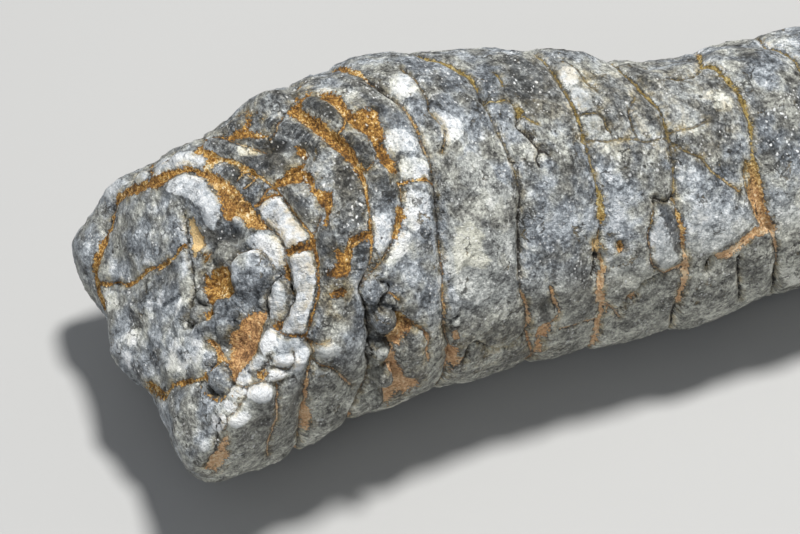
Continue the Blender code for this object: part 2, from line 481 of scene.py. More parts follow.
# %% Joints between the blocks of the broken end
BLOCK_JOINTS = {
    "mouth_left": (0.36, 0.4, ((103, 306), (99, 293), (95, 279), (97, 262), (103, 243), (108, 225),
        (111, 208), (117, 197))),
    "mouth_top": (0.42, 0.4, ((116, 198), (125, 193), (134, 190), (145, 186), (155, 182),
        (165, 178), (174, 173))),
    "mouth_brow": (0.2, 0.4, ((174, 173), (187, 169), (198, 172), (208, 177))),
    "mouth_right": (0.05, 0.4, ((266, 226), (276, 232), (284, 245), (285, 262), (286, 275),
        (290, 285), (291, 298), (287, 310), (280, 320), (277, 327))),
    "plate_crack": (0.17, 0.3, ((98, 284), (108, 284), (118, 282), (126, 285), (134, 281),
        (142, 275), (150, 269), (160, 266), (168, 261), (176, 253), (184, 244))),
    "plate_ridge": (-0.02, 0.25, ((185, 214), (186, 230), (186, 246), (188, 262), (188, 280),
        (189, 296), (188, 308), (184, 320), (190, 326))),
    "chin": (0.2, 0.6, ((164, 397), (170, 388), (177, 384), (186, 382), (197, 380), (204, 374),
        (210, 367), (215, 358), (214, 349), (209, 340))),
    "lump_ring": (-0.012, 0.28, ((206, 376), (207, 367), (214, 361), (223, 365), (228, 373),
        (229, 384), (224, 393), (213, 395), (206, 390), (204, 381))),
    "rim_seam_1": (0.0, 0.28, ((294, 352), (295, 362), (291, 371), (284, 370), (273, 366))),
    "rim_seam_2": (0.0, 0.28, ((286, 383), (273, 384), (262, 381), (250, 384), (240, 385),
        (232, 383))),
    "rim_seam_3": (0.0, 0.28, ((262, 381), (257, 372), (267, 362), (270, 355))),
    "rim_seam_4": (0.0, 0.22, ((246, 384), (246, 394), (241, 402), (233, 413), (226, 418),
        (226, 426), (221, 434))),
    "lump_clay": (0.12, 0.3, ((203, 393), (209, 398), (217, 400), (223, 396), (228, 391))),
    "mortar_top": (0.26, 0.35, ((256, 204), (264, 199), (274, 193))),
    "mortar_side": (0.34, 0.3, ((288, 254), (297, 250), (305, 247), (311, 240))),
    "mortar_low": (0.1, 0.25, ((279, 332), (288, 335), (297, 335), (306, 336))),
    "mortar_shoulder": (0.22, 0.3, ((277, 183), (286, 176), (294, 168), (301, 164))),
    "rim_joint_1": (0.16, 0.25, ((131, 187), (133, 179), (137, 170))),
    "rim_joint_2": (0.16, 0.25, ((150, 182), (151, 173), (150, 163))),
    "rim_joint_3": (0.16, 0.25, ((169, 161), (173, 155), (178, 149))),
    "rim_joint_4": (0.34, 0.25, ((206, 172), (209, 164), (213, 155))),
    "rim_joint_5": (0.24, 0.25, ((203, 134), (200, 143), (196, 152))),
    "row_joint_3": (0.03, 0.2, ((304, 341), (312, 342), (320, 345), (330, 340))),
    "front_foot": (-0.03, 0.15, ((219, 418), (214, 430), (216, 446), (212, 460), (204, 468))),
    "facet_arc": (0.04, 0.35, ((401, 182), (403, 200), (403, 211), (401, 227), (394, 241),
        (387, 254), (379, 266), (369, 278), (363, 294))),
    "ledge_joint_1": (0.07, 0.2, ((237, 165), (241, 172), (236, 181))),
    "ledge_joint_2": (0.08, 0.2, ((247, 174), (252, 180), (245, 188))),
    "ledge_joint_3": (0.1, 0.2, ((268, 186), (262, 194), (256, 204))),
    "ledge_joint_4": (0.06, 0.2, ((209, 138), (222, 137), (240, 144), (262, 150))),
    "shelf_joint": (0.08, 0.25, ((262, 117), (256, 112), (246, 108), (236, 112))),
    "shelf_joint_2": (0.06, 0.2, ((283, 112), (279, 122), (274, 132), (266, 138))),
    "facet_cross": (0.12, 0.25, ((398, 183), (408, 181), (418, 179), (427, 178), (434, 181))),
    "slab_joint_1": (0.06, 0.2, ((296, 97), (306, 93), (317, 93))),
    "slab_joint_2": (0.1, 0.25, ((334, 137), (342, 130), (345, 121), (342, 112))),
    "slab_joint_3": (0.08, 0.25, ((366, 170), (374, 160), (378, 152))),
    "slab_joint_4": (0.14, 0.25, ((352, 245), (360, 240), (372, 233))),
    "column_joint": (0.05, 0.2, ((320, 215), (316, 224), (311, 234))),
    "lobe_seam": (-0.05, 0.35, ((109, 209), (106, 222), (104, 236))),
    "c_edge": (-0.05, 0.4, ((280, 270), (274, 276), (268, 284), (265, 294), (264, 305),
        (266, 315))),
    "sphere_edge": (0.0, 0.15, ((230, 262), (237, 253), (248, 249), (259, 250), (268, 257),
        (273, 267))),
    "gap_under_b": (-0.16, 0.75, ((289, 284), (292, 292), (291, 300), (287, 309), (282, 317))),
}

# %% Cracks inside the chambers
CRACKS = {
    "side_seam": (0.08, 0.3, ((279, 388), (278, 402), (276, 418), (273, 432), (270, 443),
        (269, 458))),
    "side_branch": (0.08, 0.3, ((316, 362), (322, 367), (334, 369), (342, 377), (348, 383),
        (354, 389))),
    "rib_groove": (-0.03, 0.3, ((382, 282), (391, 285), (390, 293), (384, 300), (382, 311))),
    "rib_branch": (0.09, 0.25, ((391, 293), (401, 302))),
    "block_edge": (0.13, 0.35, ((408, 321), (416, 326), (424, 331), (429, 341), (426, 349),
        (428, 360))),
    "low_crack": (-0.04, 0.35, ((466, 360), (471, 350), (476, 344), (483, 348), (495, 353),
        (510, 349), (522, 342), (532, 332))),
    "upper_crack": (0.05, 0.3, ((400, 66), (415, 79), (427, 97), (429, 109), (441, 123), (446, 135),
        (443, 151))),
    "pit_1": (-0.09, 0.35, ((530, 131), (534, 136))),
    "pit_2": (-0.08, 0.35, ((543, 147), (549, 152))),
    "pit_3": (-0.08, 0.35, ((513, 157), (519, 160))),
    "shoulder_crack": (0.09, 0.25, ((486, 99), (497, 99), (507, 98), (514, 104), (524, 113),
        (531, 119), (538, 123))),
    "shoulder_fleck": (0.1, 0.2, ((493, 71), (500, 78), (503, 84))),
    "dark_crack": (-0.06, 0.3, ((519, 113), (518, 123), (524, 131), (532, 139), (540, 149),
        (538, 158), (541, 166))),
    "back_crack_1": (0.06, 0.2, ((562, 60), (577, 69), (587, 80), (599, 91))),
    "back_crack_2": (0.05, 0.2, ((636, 92), (635, 98), (630, 107), (631, 119), (636, 132),
        (642, 140), (657, 139), (669, 134))),
    "back_crack_3": (0.06, 0.2, ((577, 114), (592, 113), (603, 117), (607, 126), (614, 134))),
    "back_crack_4": (0.06, 0.2, ((584, 138), (594, 139), (606, 141), (620, 138), (640, 139))),
    "back_crack_5": (0.06, 0.2, ((670, 130), (685, 128), (695, 126), (707, 119))),
    "back_crack_6": (0.08, 0.28, ((675, 141), (684, 149), (692, 153), (704, 159), (713, 171),
        (726, 181), (741, 191))),
    "back_crack_7": (0.05, 0.2, ((701, 63), (697, 72), (682, 77), (667, 76))),
    "side_crack_1": (0.05, 0.28, ((654, 205), (652, 218), (648, 234), (650, 249), (651, 262),
        (656, 268), (663, 274))),
    "side_crack_7": (-0.03, 0.28, ((654, 205), (655, 197), (661, 200), (668, 202), (675, 196))),
    "side_crack_2": (0.12, 0.32, ((686, 267), (678, 269), (671, 271), (664, 275))),
    "side_crack_6": (-0.05, 0.4, ((664, 275), (655, 281), (646, 285), (641, 291), (636, 295),
        (630, 300), (625, 307), (621, 312))),
    "bead_gap": (-0.13, 0.4, ((598, 258), (598, 264), (597, 271), (595, 278))),
    "side_crack_3": (0.08, 0.3, ((561, 331), (571, 330), (580, 328), (590, 325), (598, 326))),
    "side_crack_4": (0.07, 0.25, ((605, 304), (614, 311), (621, 321))),
    "side_crack_5": (-0.05, 0.25, ((741, 258), (741, 272), (741, 284), (742, 302))),
    "clay_branch": (0.36, 0.35, ((773, 229), (762, 231), (753, 234), (745, 240), (738, 247),
        (727, 253), (716, 257))),
    "clay_branch_tip": (-0.06, 0.35, ((716, 257), (712, 262), (709, 270))),
    "recess_edge": (0.12, 0.3, ((551, 287), (553, 296), (556, 304), (560, 312), (556, 320),
        (550, 326))),
    "ring_g_inner": (0.08, 0.3, ((748, 160), (746, 172), (748, 186), (752, 199))),
}


def pinned(lines):
    return {
        name: (groove, smooth_line(with_clay([pin(place) for place in places], clay)))
        for name, (clay, groove, places) in lines.items()
    }


block_joints = pinned(BLOCK_JOINTS)
cracks = pinned(CRACKS)
print("block joints:", len(block_joints), "cracks:", len(cracks))


# %% Measure how far each point of the skin is from the lines
def nearest_line(lines):
    """For each skin point: the way to the nearest line, its clay half width and its groove."""
    marks = np.concatenate([line for groove, line in lines.values()])
    grooves = np.concatenate([np.full(len(line), groove) for groove, line in lines.values()])
    tree = KDTree(len(marks))
    for index, mark in enumerate(marks):
        tree.insert(Vector(mark[:3]), index)
    tree.balance()
    index = np.array([tree.find(Vector(point))[1] for point in base_points])
    return marks[index, :3] - base_points, marks[index, 3], grooves[index]


near_lines = {
    "rings": nearest_line(rings),
    "block joints": nearest_line(block_joints),
    "cracks": nearest_line(cracks),
}
print("points measured against", len(near_lines), "kinds of line:", len(base_points))

# %% [markdown]
# ## Clay, blocks and soft tones
#
# Clay also lies in hollows, and the calcite isn't one colour: sugar-white blocks stand beside
# grey ones, and some show fibres that grew across the chamber wall. Each patch is an outline in
# the view. A point of the skin gets its distance to the outline, less than zero inside.

# %% Outlines of the clay
CLAY = {
    "wedge": ((199, 170), (212, 172), (226, 180), (238, 191), (252, 208), (265, 223), (268, 228),
        (258, 229), (248, 228), (244, 219), (236, 216), (229, 221), (225, 220), (224, 210),
        (221, 199), (214, 189)),
    "pocket_low": ((243, 317), (252, 310), (264, 308), (264, 317), (261, 327), (258, 340),
        (254, 351), (247, 362), (240, 369), (233, 380), (228, 379), (228, 371), (222, 362),
        (215, 351), (208, 342), (211, 338), (216, 344), (220, 353), (224, 359), (226, 352),
        (227, 340), (232, 333), (240, 328)),
    "pocket_high": ((199, 270), (206, 274), (209, 267), (219, 265), (226, 266), (230, 273),
        (231, 290), (229, 296), (221, 296), (216, 298), (211, 305), (208, 318), (203, 321),
        (202, 315), (206, 304), (205, 294), (199, 285)),
    "sliver": ((188, 219), (195, 219), (198, 228), (201, 236), (201, 243), (196, 250), (192, 256),
        (189, 254), (190, 246), (189, 234)),
    "sliver_foot": ((201, 252), (207, 251), (206, 259), (200, 259)),
    "gold_patch": ((281, 266), (287, 262), (289, 270), (288, 279), (283, 278)),
    "mortar_spot": ((273, 319), (279, 317), (280, 325), (276, 331), (271, 327)),
    "notch": ((148, 382), (156, 386), (163, 392), (167, 398), (161, 400), (153, 395), (148, 388)),
    "foot_wedge": ((226, 432), (222, 441), (219, 451), (210, 461), (206, 471), (213, 474),
        (219, 469), (226, 464), (230, 458), (227, 450), (228, 441)),
    "side_drop": ((306, 405), (312, 413), (313, 422), (308, 430), (302, 434), (304, 422)),
    "terrace_start": ((288, 107), (292, 98), (298, 94), (311, 87), (307, 94), (300, 101),
        (302, 110), (316, 118), (331, 130), (346, 141), (356, 155), (362, 170), (367, 184),
        (364, 190), (359, 178), (351, 164), (340, 153), (326, 142), (310, 129), (299, 119)),
    "terrace_wide": ((318, 89), (335, 90), (344, 97), (347, 108), (354, 111), (367, 106),
        (376, 110), (380, 122), (385, 135), (381, 142), (388, 151), (394, 158), (398, 172),
        (394, 175), (387, 168), (380, 158), (373, 143), (363, 132), (351, 125), (344, 118),
        (337, 108), (330, 101), (321, 97)),
    "arc_drop": ((397, 206), (404, 204), (406, 217), (402, 231), (396, 241), (393, 236),
        (396, 222)),
    "column": ((285, 172), (297, 165), (311, 174), (313, 186), (323, 191), (330, 187), (331, 206),
        (327, 224), (321, 227), (325, 210), (316, 200), (309, 189), (304, 180), (290, 182),
        (280, 186)),
    "top_specks": ((216, 137), (228, 134), (240, 129), (245, 121), (248, 112), (251, 114),
        (249, 124), (247, 131), (256, 131), (266, 134), (256, 137), (244, 136), (230, 139)),
    "top_sliver": ((293, 144), (304, 148), (308, 156), (302, 159), (296, 153)),
    "facet_low": ((349, 236), (360, 232), (373, 229), (373, 236), (360, 240), (352, 246),
        (351, 260), (351, 272), (342, 277), (331, 277), (323, 274), (333, 267), (338, 258),
        (332, 248), (336, 247), (342, 252), (346, 245)),
    "facet_spot": ((330, 293), (342, 286), (350, 292), (344, 297), (333, 297)),
    "side_high": ((394, 314), (403, 312), (408, 320), (416, 324), (406, 334), (401, 346),
        (394, 348), (387, 338), (394, 332), (398, 323)),
    "side_low": ((395, 348), (396, 362), (403, 371), (406, 380), (419, 379), (415, 386), (403, 391),
        (394, 393), (387, 405), (383, 401), (384, 391), (391, 381), (391, 372), (386, 365)),
    "low_patch": ((446, 350), (452, 348), (459, 349), (458, 358), (466, 359), (454, 367),
        (446, 372), (450, 362)),
    "low_speck": ((453, 331), (458, 330), (459, 339), (454, 344)),
    "recess_foot": ((539, 328), (546, 323), (552, 325), (547, 338), (541, 342), (536, 340)),
    "recess_tail": ((537, 346), (543, 342), (541, 351), (535, 356)),
    "band_bead": ((595, 240), (601, 241), (603, 250), (600, 256), (595, 254)),
    "band_long": ((748, 159), (756, 164), (760, 180), (764, 197), (769, 216), (778, 229),
        (776, 237), (768, 232), (760, 224), (753, 207), (750, 190), (752, 178)),
    "hollow_spot": ((617, 242), (621, 240), (624, 246), (622, 253), (618, 250)),
    "shoulder_spot": ((514, 104), (519, 103), (524, 109), (522, 116), (517, 113)),
    "crack_bead": ((627, 298), (632, 295), (637, 296), (634, 301), (629, 303)),
    "rim_clay": ((254, 372), (262, 368), (268, 373), (262, 380), (254, 380)),
}

# %% Outlines of the blocks: tone, rise, strength of the fibres, the way they are stacked
BLOCKS = {
    "block_a": (1.05, 0.3, 0.9, (0.56, 0.83), ((257, 206), (264, 200), (272, 195), (278, 197),
        (286, 208), (294, 219), (302, 230), (306, 238), (299, 246), (291, 250), (286, 246),
        (279, 235), (272, 226), (264, 217))),
    "block_b": (0.98, 0.45, 1.2, (0.15, 0.99), ((291, 257), (300, 253), (309, 252), (313, 260),
        (314, 275), (314, 290), (311, 303), (308, 315), (305, 326), (302, 333), (290, 333),
        (282, 331), (285, 322), (290, 312), (293, 298), (294, 280), (292, 266))),
    "block_c": (0.7, 0.4, 1.2, (-0.15, 0.99), ((274, 282), (280, 280), (285, 286), (286, 296),
        (283, 306), (280, 316), (274, 319), (266, 315), (267, 303), (269, 292))),
    "block_d": (1.0, 0.35, 0.0, (-0.55, 0.84), ((265, 332), (270, 328), (277, 332), (277, 342),
        (271, 353), (263, 354), (259, 346))),
    "block_e": (0.5, 0.25, 0.0, (-0.4, 0.92), ((281, 339), (292, 338), (301, 339), (299, 349),
        (292, 353), (281, 353), (278, 348))),
    "brow_block": (0.85, 0.35, 0.7, (0.6, 0.8), ((168, 192), (173, 182), (181, 175), (192, 175),
        (204, 181), (213, 191), (221, 201), (224, 210), (221, 220), (214, 231), (207, 226),
        (204, 212), (196, 204), (186, 198), (176, 196))),
    "pebble": (0.7, 0.35, 0.0, (1, 0), ((232, 218), (238, 214), (244, 219), (245, 226), (239, 228),
        (233, 225))),
    "rim_left": (0.6, 0.25, 0.3, (0.8, -0.4), ((104, 197), (103, 188), (110, 181), (120, 179),
        (126, 182), (121, 189), (114, 196))),
    "rim_mid": (0.6, 0.2, 0.3, (0.8, -0.4), ((136, 180), (142, 173), (148, 169), (148, 177),
        (143, 183), (137, 185))),
    "rim_right": (0.7, 0.25, 0.8, (0.8, -0.4), ((154, 177), (155, 167), (161, 161), (172, 156),
        (182, 153), (195, 153), (204, 155), (205, 161), (201, 167), (190, 167), (176, 169),
        (165, 175))),
    "column_block": (-0.45, 0.25, 0.3, (0.62, 0.78), ((282, 190), (290, 186), (298, 196),
        (308, 208), (312, 217), (307, 223), (297, 210))),
    "slab_1": (-0.33, 0.3, 0.8, (0.45, 0.9), ((299, 96), (307, 94), (317, 95), (328, 102),
        (338, 111), (333, 119), (324, 117), (312, 110), (302, 105))),
    "slab_2": (-0.31, 0.3, 1.1, (0.75, 0.66), ((335, 127), (346, 131), (357, 138), (366, 144),
        (372, 151), (375, 160), (366, 168), (357, 158), (349, 146), (340, 137))),
    "slab_3": (-0.12, 0.25, 0.6, (0.5, 0.86), ((362, 158), (374, 166), (384, 172), (394, 184),
        (399, 197), (396, 208), (378, 210), (371, 200), (366, 184))),
    "slab_4": (-0.31, 0.2, 0.5, (0.5, 0.86), ((336, 168), (346, 164), (356, 172), (362, 186),
        (365, 204), (366, 222), (352, 230), (340, 236), (336, 220), (340, 204), (336, 188))),
    "slab_5": (-0.4, 0.2, 0.4, (0.2, 0.98), ((316, 226), (330, 224), (336, 240), (335, 254),
        (328, 266), (322, 271), (317, 258))),
    "rib_slab": (-0.12, 0.25, 2.4, (0.1, 0.99), ((354, 244), (364, 240), (370, 242), (371, 256),
        (367, 270), (359, 280), (353, 268))),
    "lens": (-0.55, 0.15, 0.2, (0.2, 0.98), ((242, 160), (252, 152), (268, 150), (284, 156),
        (290, 168), (284, 174), (268, 176), (250, 171))),
    "ledge_1": (-0.15, 0.25, 1.6, (0.8, 0.6), ((262, 118), (275, 116), (292, 121), (308, 130),
        (322, 142), (330, 152), (322, 154), (306, 146), (290, 137), (272, 130))),
    "ledge_2": (-0.15, 0.2, 1.0, (0.8, 0.6), ((214, 138), (232, 138), (240, 146), (234, 154),
        (218, 153), (208, 147))),
    "ledge_3": (-0.25, 0.2, 0.4, (0.8, 0.6), ((224, 166), (236, 165), (246, 171), (244, 180),
        (234, 182), (222, 176))),
    "ledge_4": (-0.2, 0.2, 0.4, (0.8, 0.6), ((248, 178), (258, 180), (266, 187), (260, 195),
        (254, 199), (246, 189))),
    "shelf": (0.0, 0.2, 0.3, (0.8, 0.6), ((250, 96), (262, 90), (278, 90), (290, 94), (285, 104),
        (280, 110), (262, 111), (247, 104))),
    "boulder": (0.0, 0.4, 0.0, (1, 0), ((408, 331), (416, 330), (424, 336), (427, 346), (425, 358),
        (428, 368), (420, 376), (408, 375), (400, 366), (399, 355), (404, 345))),
    "far_field": (0.27, 0.12, 0.0, (1, 0), ((680, 178), (688, 170), (702, 168), (716, 180),
        (734, 193), (750, 204), (757, 221), (745, 229), (732, 240), (716, 250), (700, 254),
        (688, 246), (684, 214))),
    "far_grey": (-0.06, 0.0, 0.0, (1, 0), ((700, 128), (712, 118), (732, 116), (742, 128),
        (744, 150), (748, 176), (742, 190), (722, 176), (706, 158), (698, 144))),
    "mid_grey": (-0.08, 0.0, 0.0, (1, 0), ((612, 142), (640, 142), (668, 142), (672, 168),
        (674, 192), (658, 198), (648, 190), (630, 186), (616, 166))),
    "blue_side": (-0.42, 0.0, 0.0, (1, 0), ((656, 202), (669, 204), (676, 212), (680, 226),
        (683, 244), (684, 258), (676, 250), (668, 228), (661, 214))),
    "cream_side": (0.34, 0.1, 0.0, (1, 0), ((655, 210), (661, 217), (668, 232), (675, 250),
        (680, 262), (664, 270), (655, 262), (650, 248), (652, 230))),
    "crown_white_1": (0.5, 0.1, 0.0, (1, 0), ((556, 66), (566, 62), (576, 70), (580, 82), (568, 83),
        (560, 77))),
    "crown_white_2": (0.45, 0.1, 0.0, (1, 0), ((570, 87), (582, 88), (592, 97), (594, 108),
        (582, 112), (574, 104))),
    "crown_white_3": (0.4, 0.1, 0.0, (1, 0), ((583, 118), (596, 116), (602, 124), (600, 133),
        (590, 134))),
}

# %% The same for the rim of soft white lumps at the foot of the broken end
RIM_BLOCKS = {
    "rim_spur": (0.5, 0.2, 0.0, (1, 0), ((313, 353), (318, 345), (330, 340), (341, 346), (336, 354),
        (322, 358))),
    "rim_1": (0.8, 0.22, 0.3, (-0.5, 0.8), ((251, 353), (262, 355), (267, 353), (262, 362),
        (255, 369), (246, 371), (245, 363))),
    "rim_2": (0.95, 0.25, 0.3, (-0.5, 0.8), ((277, 355), (286, 354), (293, 354), (292, 364),
        (284, 368), (276, 366), (272, 360))),
    "rim_3": (0.85, 0.3, 0.2, (-0.5, 0.8), ((296, 353), (302, 347), (309, 349), (307, 361),
        (300, 373), (294, 371), (294, 361))),
    "rim_4": (0.85, 0.2, 0.3, (-0.5, 0.8), ((268, 371), (276, 367), (285, 370), (289, 375),
        (281, 382), (271, 383))),
    "rim_5": (0.95, 0.3, 0.2, (-0.5, 0.8), ((250, 388), (260, 382), (272, 385), (270, 396),
        (260, 402), (250, 399), (246, 393))),
    "rim_6": (0.8, 0.25, 0.2, (-0.5, 0.8), ((227, 391), (234, 385), (244, 386), (246, 392),
        (238, 397), (229, 398))),
    "rim_7": (0.85, 0.25, 0.3, (-0.5, 0.8), ((232, 374), (240, 369), (250, 373), (249, 381),
        (242, 384), (233, 382))),
    "rim_8": (0.8, 0.2, 0.2, (-0.5, 0.8), ((223, 402), (232, 399), (238, 403), (236, 410),
        (228, 413), (221, 409))),
    "rim_9": (0.8, 0.25, 0.2, (-0.5, 0.8), ((227, 421), (236, 413), (247, 411), (251, 416),
        (244, 424), (234, 428))),
    "rim_10": (0.9, 0.2, 0.2, (-0.5, 0.8), ((210, 421), (216, 413), (224, 415), (226, 424),
        (220, 434), (213, 434))),
    "rim_11": (0.6, 0.15, 0.0, (1, 0), ((200, 441), (206, 437), (212, 441), (211, 449),
        (204, 453))),
}

# %% Outlines of the white spots, each with its strength
PALE = {
    "facet_rim": (1.1, ((388, 262), (394, 246), (402, 232), (412, 230), (410, 246), (400, 260),
        (390, 272), (382, 278))),
    "mass_white": (1.3, ((246, 238), (262, 234), (276, 238), (285, 250), (284, 264), (274, 268),
        (266, 254), (252, 254))),
    "plate_corner": (0.8, ((100, 288), (112, 289), (123, 293), (124, 300), (116, 309), (108, 315),
        (103, 303))),
    "plate_spot_1": (0.8, ((122, 334), (131, 327), (141, 329), (142, 340), (133, 347), (124, 345))),
    "plate_spot_2": (0.7, ((158, 292), (166, 290), (168, 300), (162, 307), (157, 303))),
    "plate_field": (0.6, ((168, 343), (178, 336), (192, 335), (203, 341), (209, 350), (207, 361),
        (198, 369), (184, 373), (170, 374), (161, 371), (167, 358))),
    "plate_spot_3": (0.5, ((140, 225), (146, 228), (144, 242), (136, 246), (134, 236))),
    "facet_white_1": (1.0, ((387, 76), (401, 73), (414, 80), (420, 89), (413, 96), (401, 95),
        (391, 86))),
    "facet_white_2": (1.0, ((384, 132), (392, 128), (406, 128), (419, 137), (417, 146), (406, 151),
        (392, 149), (384, 141))),
    "facet_white_3": (1.1, ((401, 158), (415, 154), (429, 161), (432, 177), (415, 178), (403, 179),
        (400, 167))),
    "facet_white_4": (1.1, ((373, 215), (382, 213), (391, 220), (393, 238), (382, 254), (376, 250),
        (374, 229))),
    "sugar": (1.5, ((430, 109), (446, 113), (460, 122), (462, 134), (451, 144), (444, 135),
        (439, 120))),
    "band_spot_1": (0.7, ((560, 66), (575, 69), (579, 82), (567, 86), (558, 77))),
    "band_spot_2": (0.6, ((520, 142), (535, 140), (549, 148), (546, 162), (532, 166), (520, 156))),
    "band_spot_3": (0.6, ((604, 164), (618, 166), (628, 180), (622, 190), (606, 186))),
    "far_spot": (0.6, ((705, 92), (720, 88), (736, 96), (732, 112), (715, 112))),
    "far_top": (0.5, ((770, 40), (800, 36), (815, 44), (800, 52), (780, 48))),
    "far_low": (0.8, ((781, 270), (796, 268), (802, 282), (786, 290))),
    "step_rim": (0.5, ((524, 228), (530, 228), (532, 250), (531, 275), (529, 292), (524, 288),
        (525, 262))),
    "patch_foot": (0.5, ((240, 444), (252, 440), (256, 452), (246, 458))),
    "facet_white_5": (0.7, ((402, 190), (418, 184), (432, 190), (434, 210), (426, 226), (412, 232),
        (404, 220))),
    "spot_1": (0.6, ((264, 268), (270, 268), (272, 276), (266, 280))),
    "head_white": (1.4, ((316, 87), (325, 84), (333, 90), (332, 98), (323, 96))),
    "arc_white": (0.6, ((338, 88), (350, 82), (364, 90), (362, 98), (348, 98))),
    "plate_spot_4": (0.9, ((183, 292), (186, 300), (182, 312), (176, 318), (174, 306))),
    "plate_spot_5": (0.8, ((120, 352), (130, 350), (136, 360), (130, 370), (122, 364))),
    "plate_spot_6": (0.9, ((146, 300), (152, 296), (156, 304), (154, 318), (148, 322))),
    "upper_spot_1": (0.5, ((150, 205), (160, 200), (168, 210), (160, 220), (150, 216))),
    "lobe_spot": (0.5, ((184, 404), (196, 402), (204, 410), (196, 418), (186, 414))),
    "lens_gold": (1.0, ((238, 143), (247, 143), (254, 149), (262, 151), (252, 156), (242, 158),
        (236, 152))),
}

# %% Outlines of the shaded and dark parts
DARK = {
    "brow_gap": (0.9, ((203, 238), (213, 228), (224, 227), (238, 229), (243, 234), (234, 240),
        (222, 245), (208, 251))),
    "gap_by_block": (1.0, ((284, 284), (290, 287), (293, 296), (289, 306), (284, 316), (280, 318),
        (283, 308), (286, 298))),
    "clear_calcite": (0.7, ((265, 318), (272, 318), (275, 326), (270, 331), (264, 330))),
    "far_dark": (0.25, ((760, 85), (815, 80), (820, 160), (762, 158))),
    "grey_1": (0.2, ((545, 150), (592, 165), (596, 200), (550, 200))),
    "grey_3": (0.4, ((566, 262), (594, 264), (594, 305), (566, 303))),
    "grey_4": (0.3, ((500, 60), (540, 58), (565, 90), (560, 110), (515, 105))),
    "foot_face": (0.35, ((262, 405), (292, 385), (305, 378), (302, 440), (262, 458), (240, 464),
        (240, 432))),
    "valley": (0.35, ((186, 246), (200, 262), (198, 300), (204, 322), (192, 322), (187, 290))),
    "mouth_shade": (0.3, ((205, 232), (216, 226), (230, 232), (226, 246), (212, 250))),
    "recess": (0.9, ((551, 290), (543, 299), (539, 308), (542, 320), (549, 321), (554, 313),
        (553, 299))),
    "side_face": (0.35, ((340, 300), (362, 305), (370, 340), (371, 385), (352, 400), (340, 370),
        (346, 330))),
    "foot_side": (0.35, ((250, 420), (300, 392), (303, 440), (262, 462), (236, 465))),
    "hollow": (0.8, ((616, 241), (621, 239), (626, 246), (623, 253), (617, 251))),
    "arc_grey": (0.5, ((345, 94), (362, 90), (384, 96), (402, 116), (398, 124), (380, 124),
        (362, 104))),
    "crown_shade": (0.3, ((440, 66), (480, 74), (560, 70), (560, 118), (500, 124), (440, 112))),
    "black_pocket": (1.1, ((250, 141), (260, 136), (274, 137), (290, 141), (302, 149), (288, 152),
        (272, 151), (260, 148))),
    "black_core": (2.2, ((266, 140), (276, 138), (286, 142), (284, 150), (274, 151), (268, 147))),
    "knob_bed": (0.35, ((372, 336), (390, 336), (390, 404), (370, 404))),
}

# %% Outlines of the fields and soft spots that are a little lighter all over
LIGHT = {
    "cream": (1.65, ((456, 226), (470, 220), (484, 234), (482, 250), (492, 260), (484, 270),
        (468, 266), (458, 276), (453, 250))),
    "mid_spot_1": (0.55, ((452, 150), (470, 142), (486, 152), (484, 170), (462, 176))),
    "mid_spot_2": (0.75, ((484, 196), (500, 190), (510, 204), (504, 224), (488, 222))),
    "mid_spot_3": (0.6, ((460, 278), (480, 272), (496, 282), (488, 296), (466, 296))),
    "side_spot_1": (0.9, ((568, 212), (584, 206), (596, 214), (592, 230), (574, 234))),
    "side_spot_2": (0.75, ((605, 212), (622, 208), (634, 218), (628, 230), (608, 230))),
    "sea_white": (0.45, ((608, 190), (650, 192), (648, 228), (612, 232))),
    "far_white": (0.45, ((762, 162), (818, 160), (824, 222), (775, 226))),
    # mid_field, side_field and right_field are painted light, lifting the middle of the side where
    # the lamp leaves it dim.
    "mid_field": (0.3, ((447, 190), (500, 180), (520, 195), (520, 300), (500, 308), (460, 300),
        (447, 270))),
    "side_field": (0.42, ((604, 200), (650, 195), (650, 270), (630, 290), (606, 290))),
    "right_field": (0.4, ((692, 200), (740, 205), (755, 225), (700, 262), (692, 300))),
    "cream_2": (0.25, ((448, 168), (470, 150), (490, 160), (500, 190), (490, 215), (465, 225),
        (450, 205))),
    "band_white": (0.6, ((528, 232), (545, 214), (570, 208), (597, 206), (599, 232), (575, 237),
        (550, 236))),
    "side_white": (0.5, ((406, 213), (425, 205), (436, 225), (438, 255), (428, 282), (402, 286),
        (385, 275), (390, 256), (400, 240))),
    "left_lobe": (0.4, ((88, 232), (96, 236), (97, 252), (88, 262), (80, 252))),
    "plate_foot": (0.4, ((104, 262), (120, 258), (150, 252), (160, 258), (140, 270), (118, 277),
        (100, 276))),
    "chin_patch": (0.2, ((180, 400), (200, 404), (212, 412), (206, 430), (190, 425), (178, 412))),
    "facet_rim_low": (0.6, ((320, 338), (345, 318), (362, 296), (366, 306), (350, 330),
        (330, 350))),
    "rim_bed": (0.45, ((206, 432), (212, 414), (222, 402), (236, 396), (231, 388), (238, 376),
        (248, 370), (258, 374), (268, 370), (276, 362), (286, 356), (297, 354), (304, 345),
        (315, 344), (318, 353), (311, 364), (301, 375), (291, 383), (279, 389), (272, 401),
        (260, 408), (251, 418), (239, 430), (229, 434), (221, 444), (212, 440))),
}

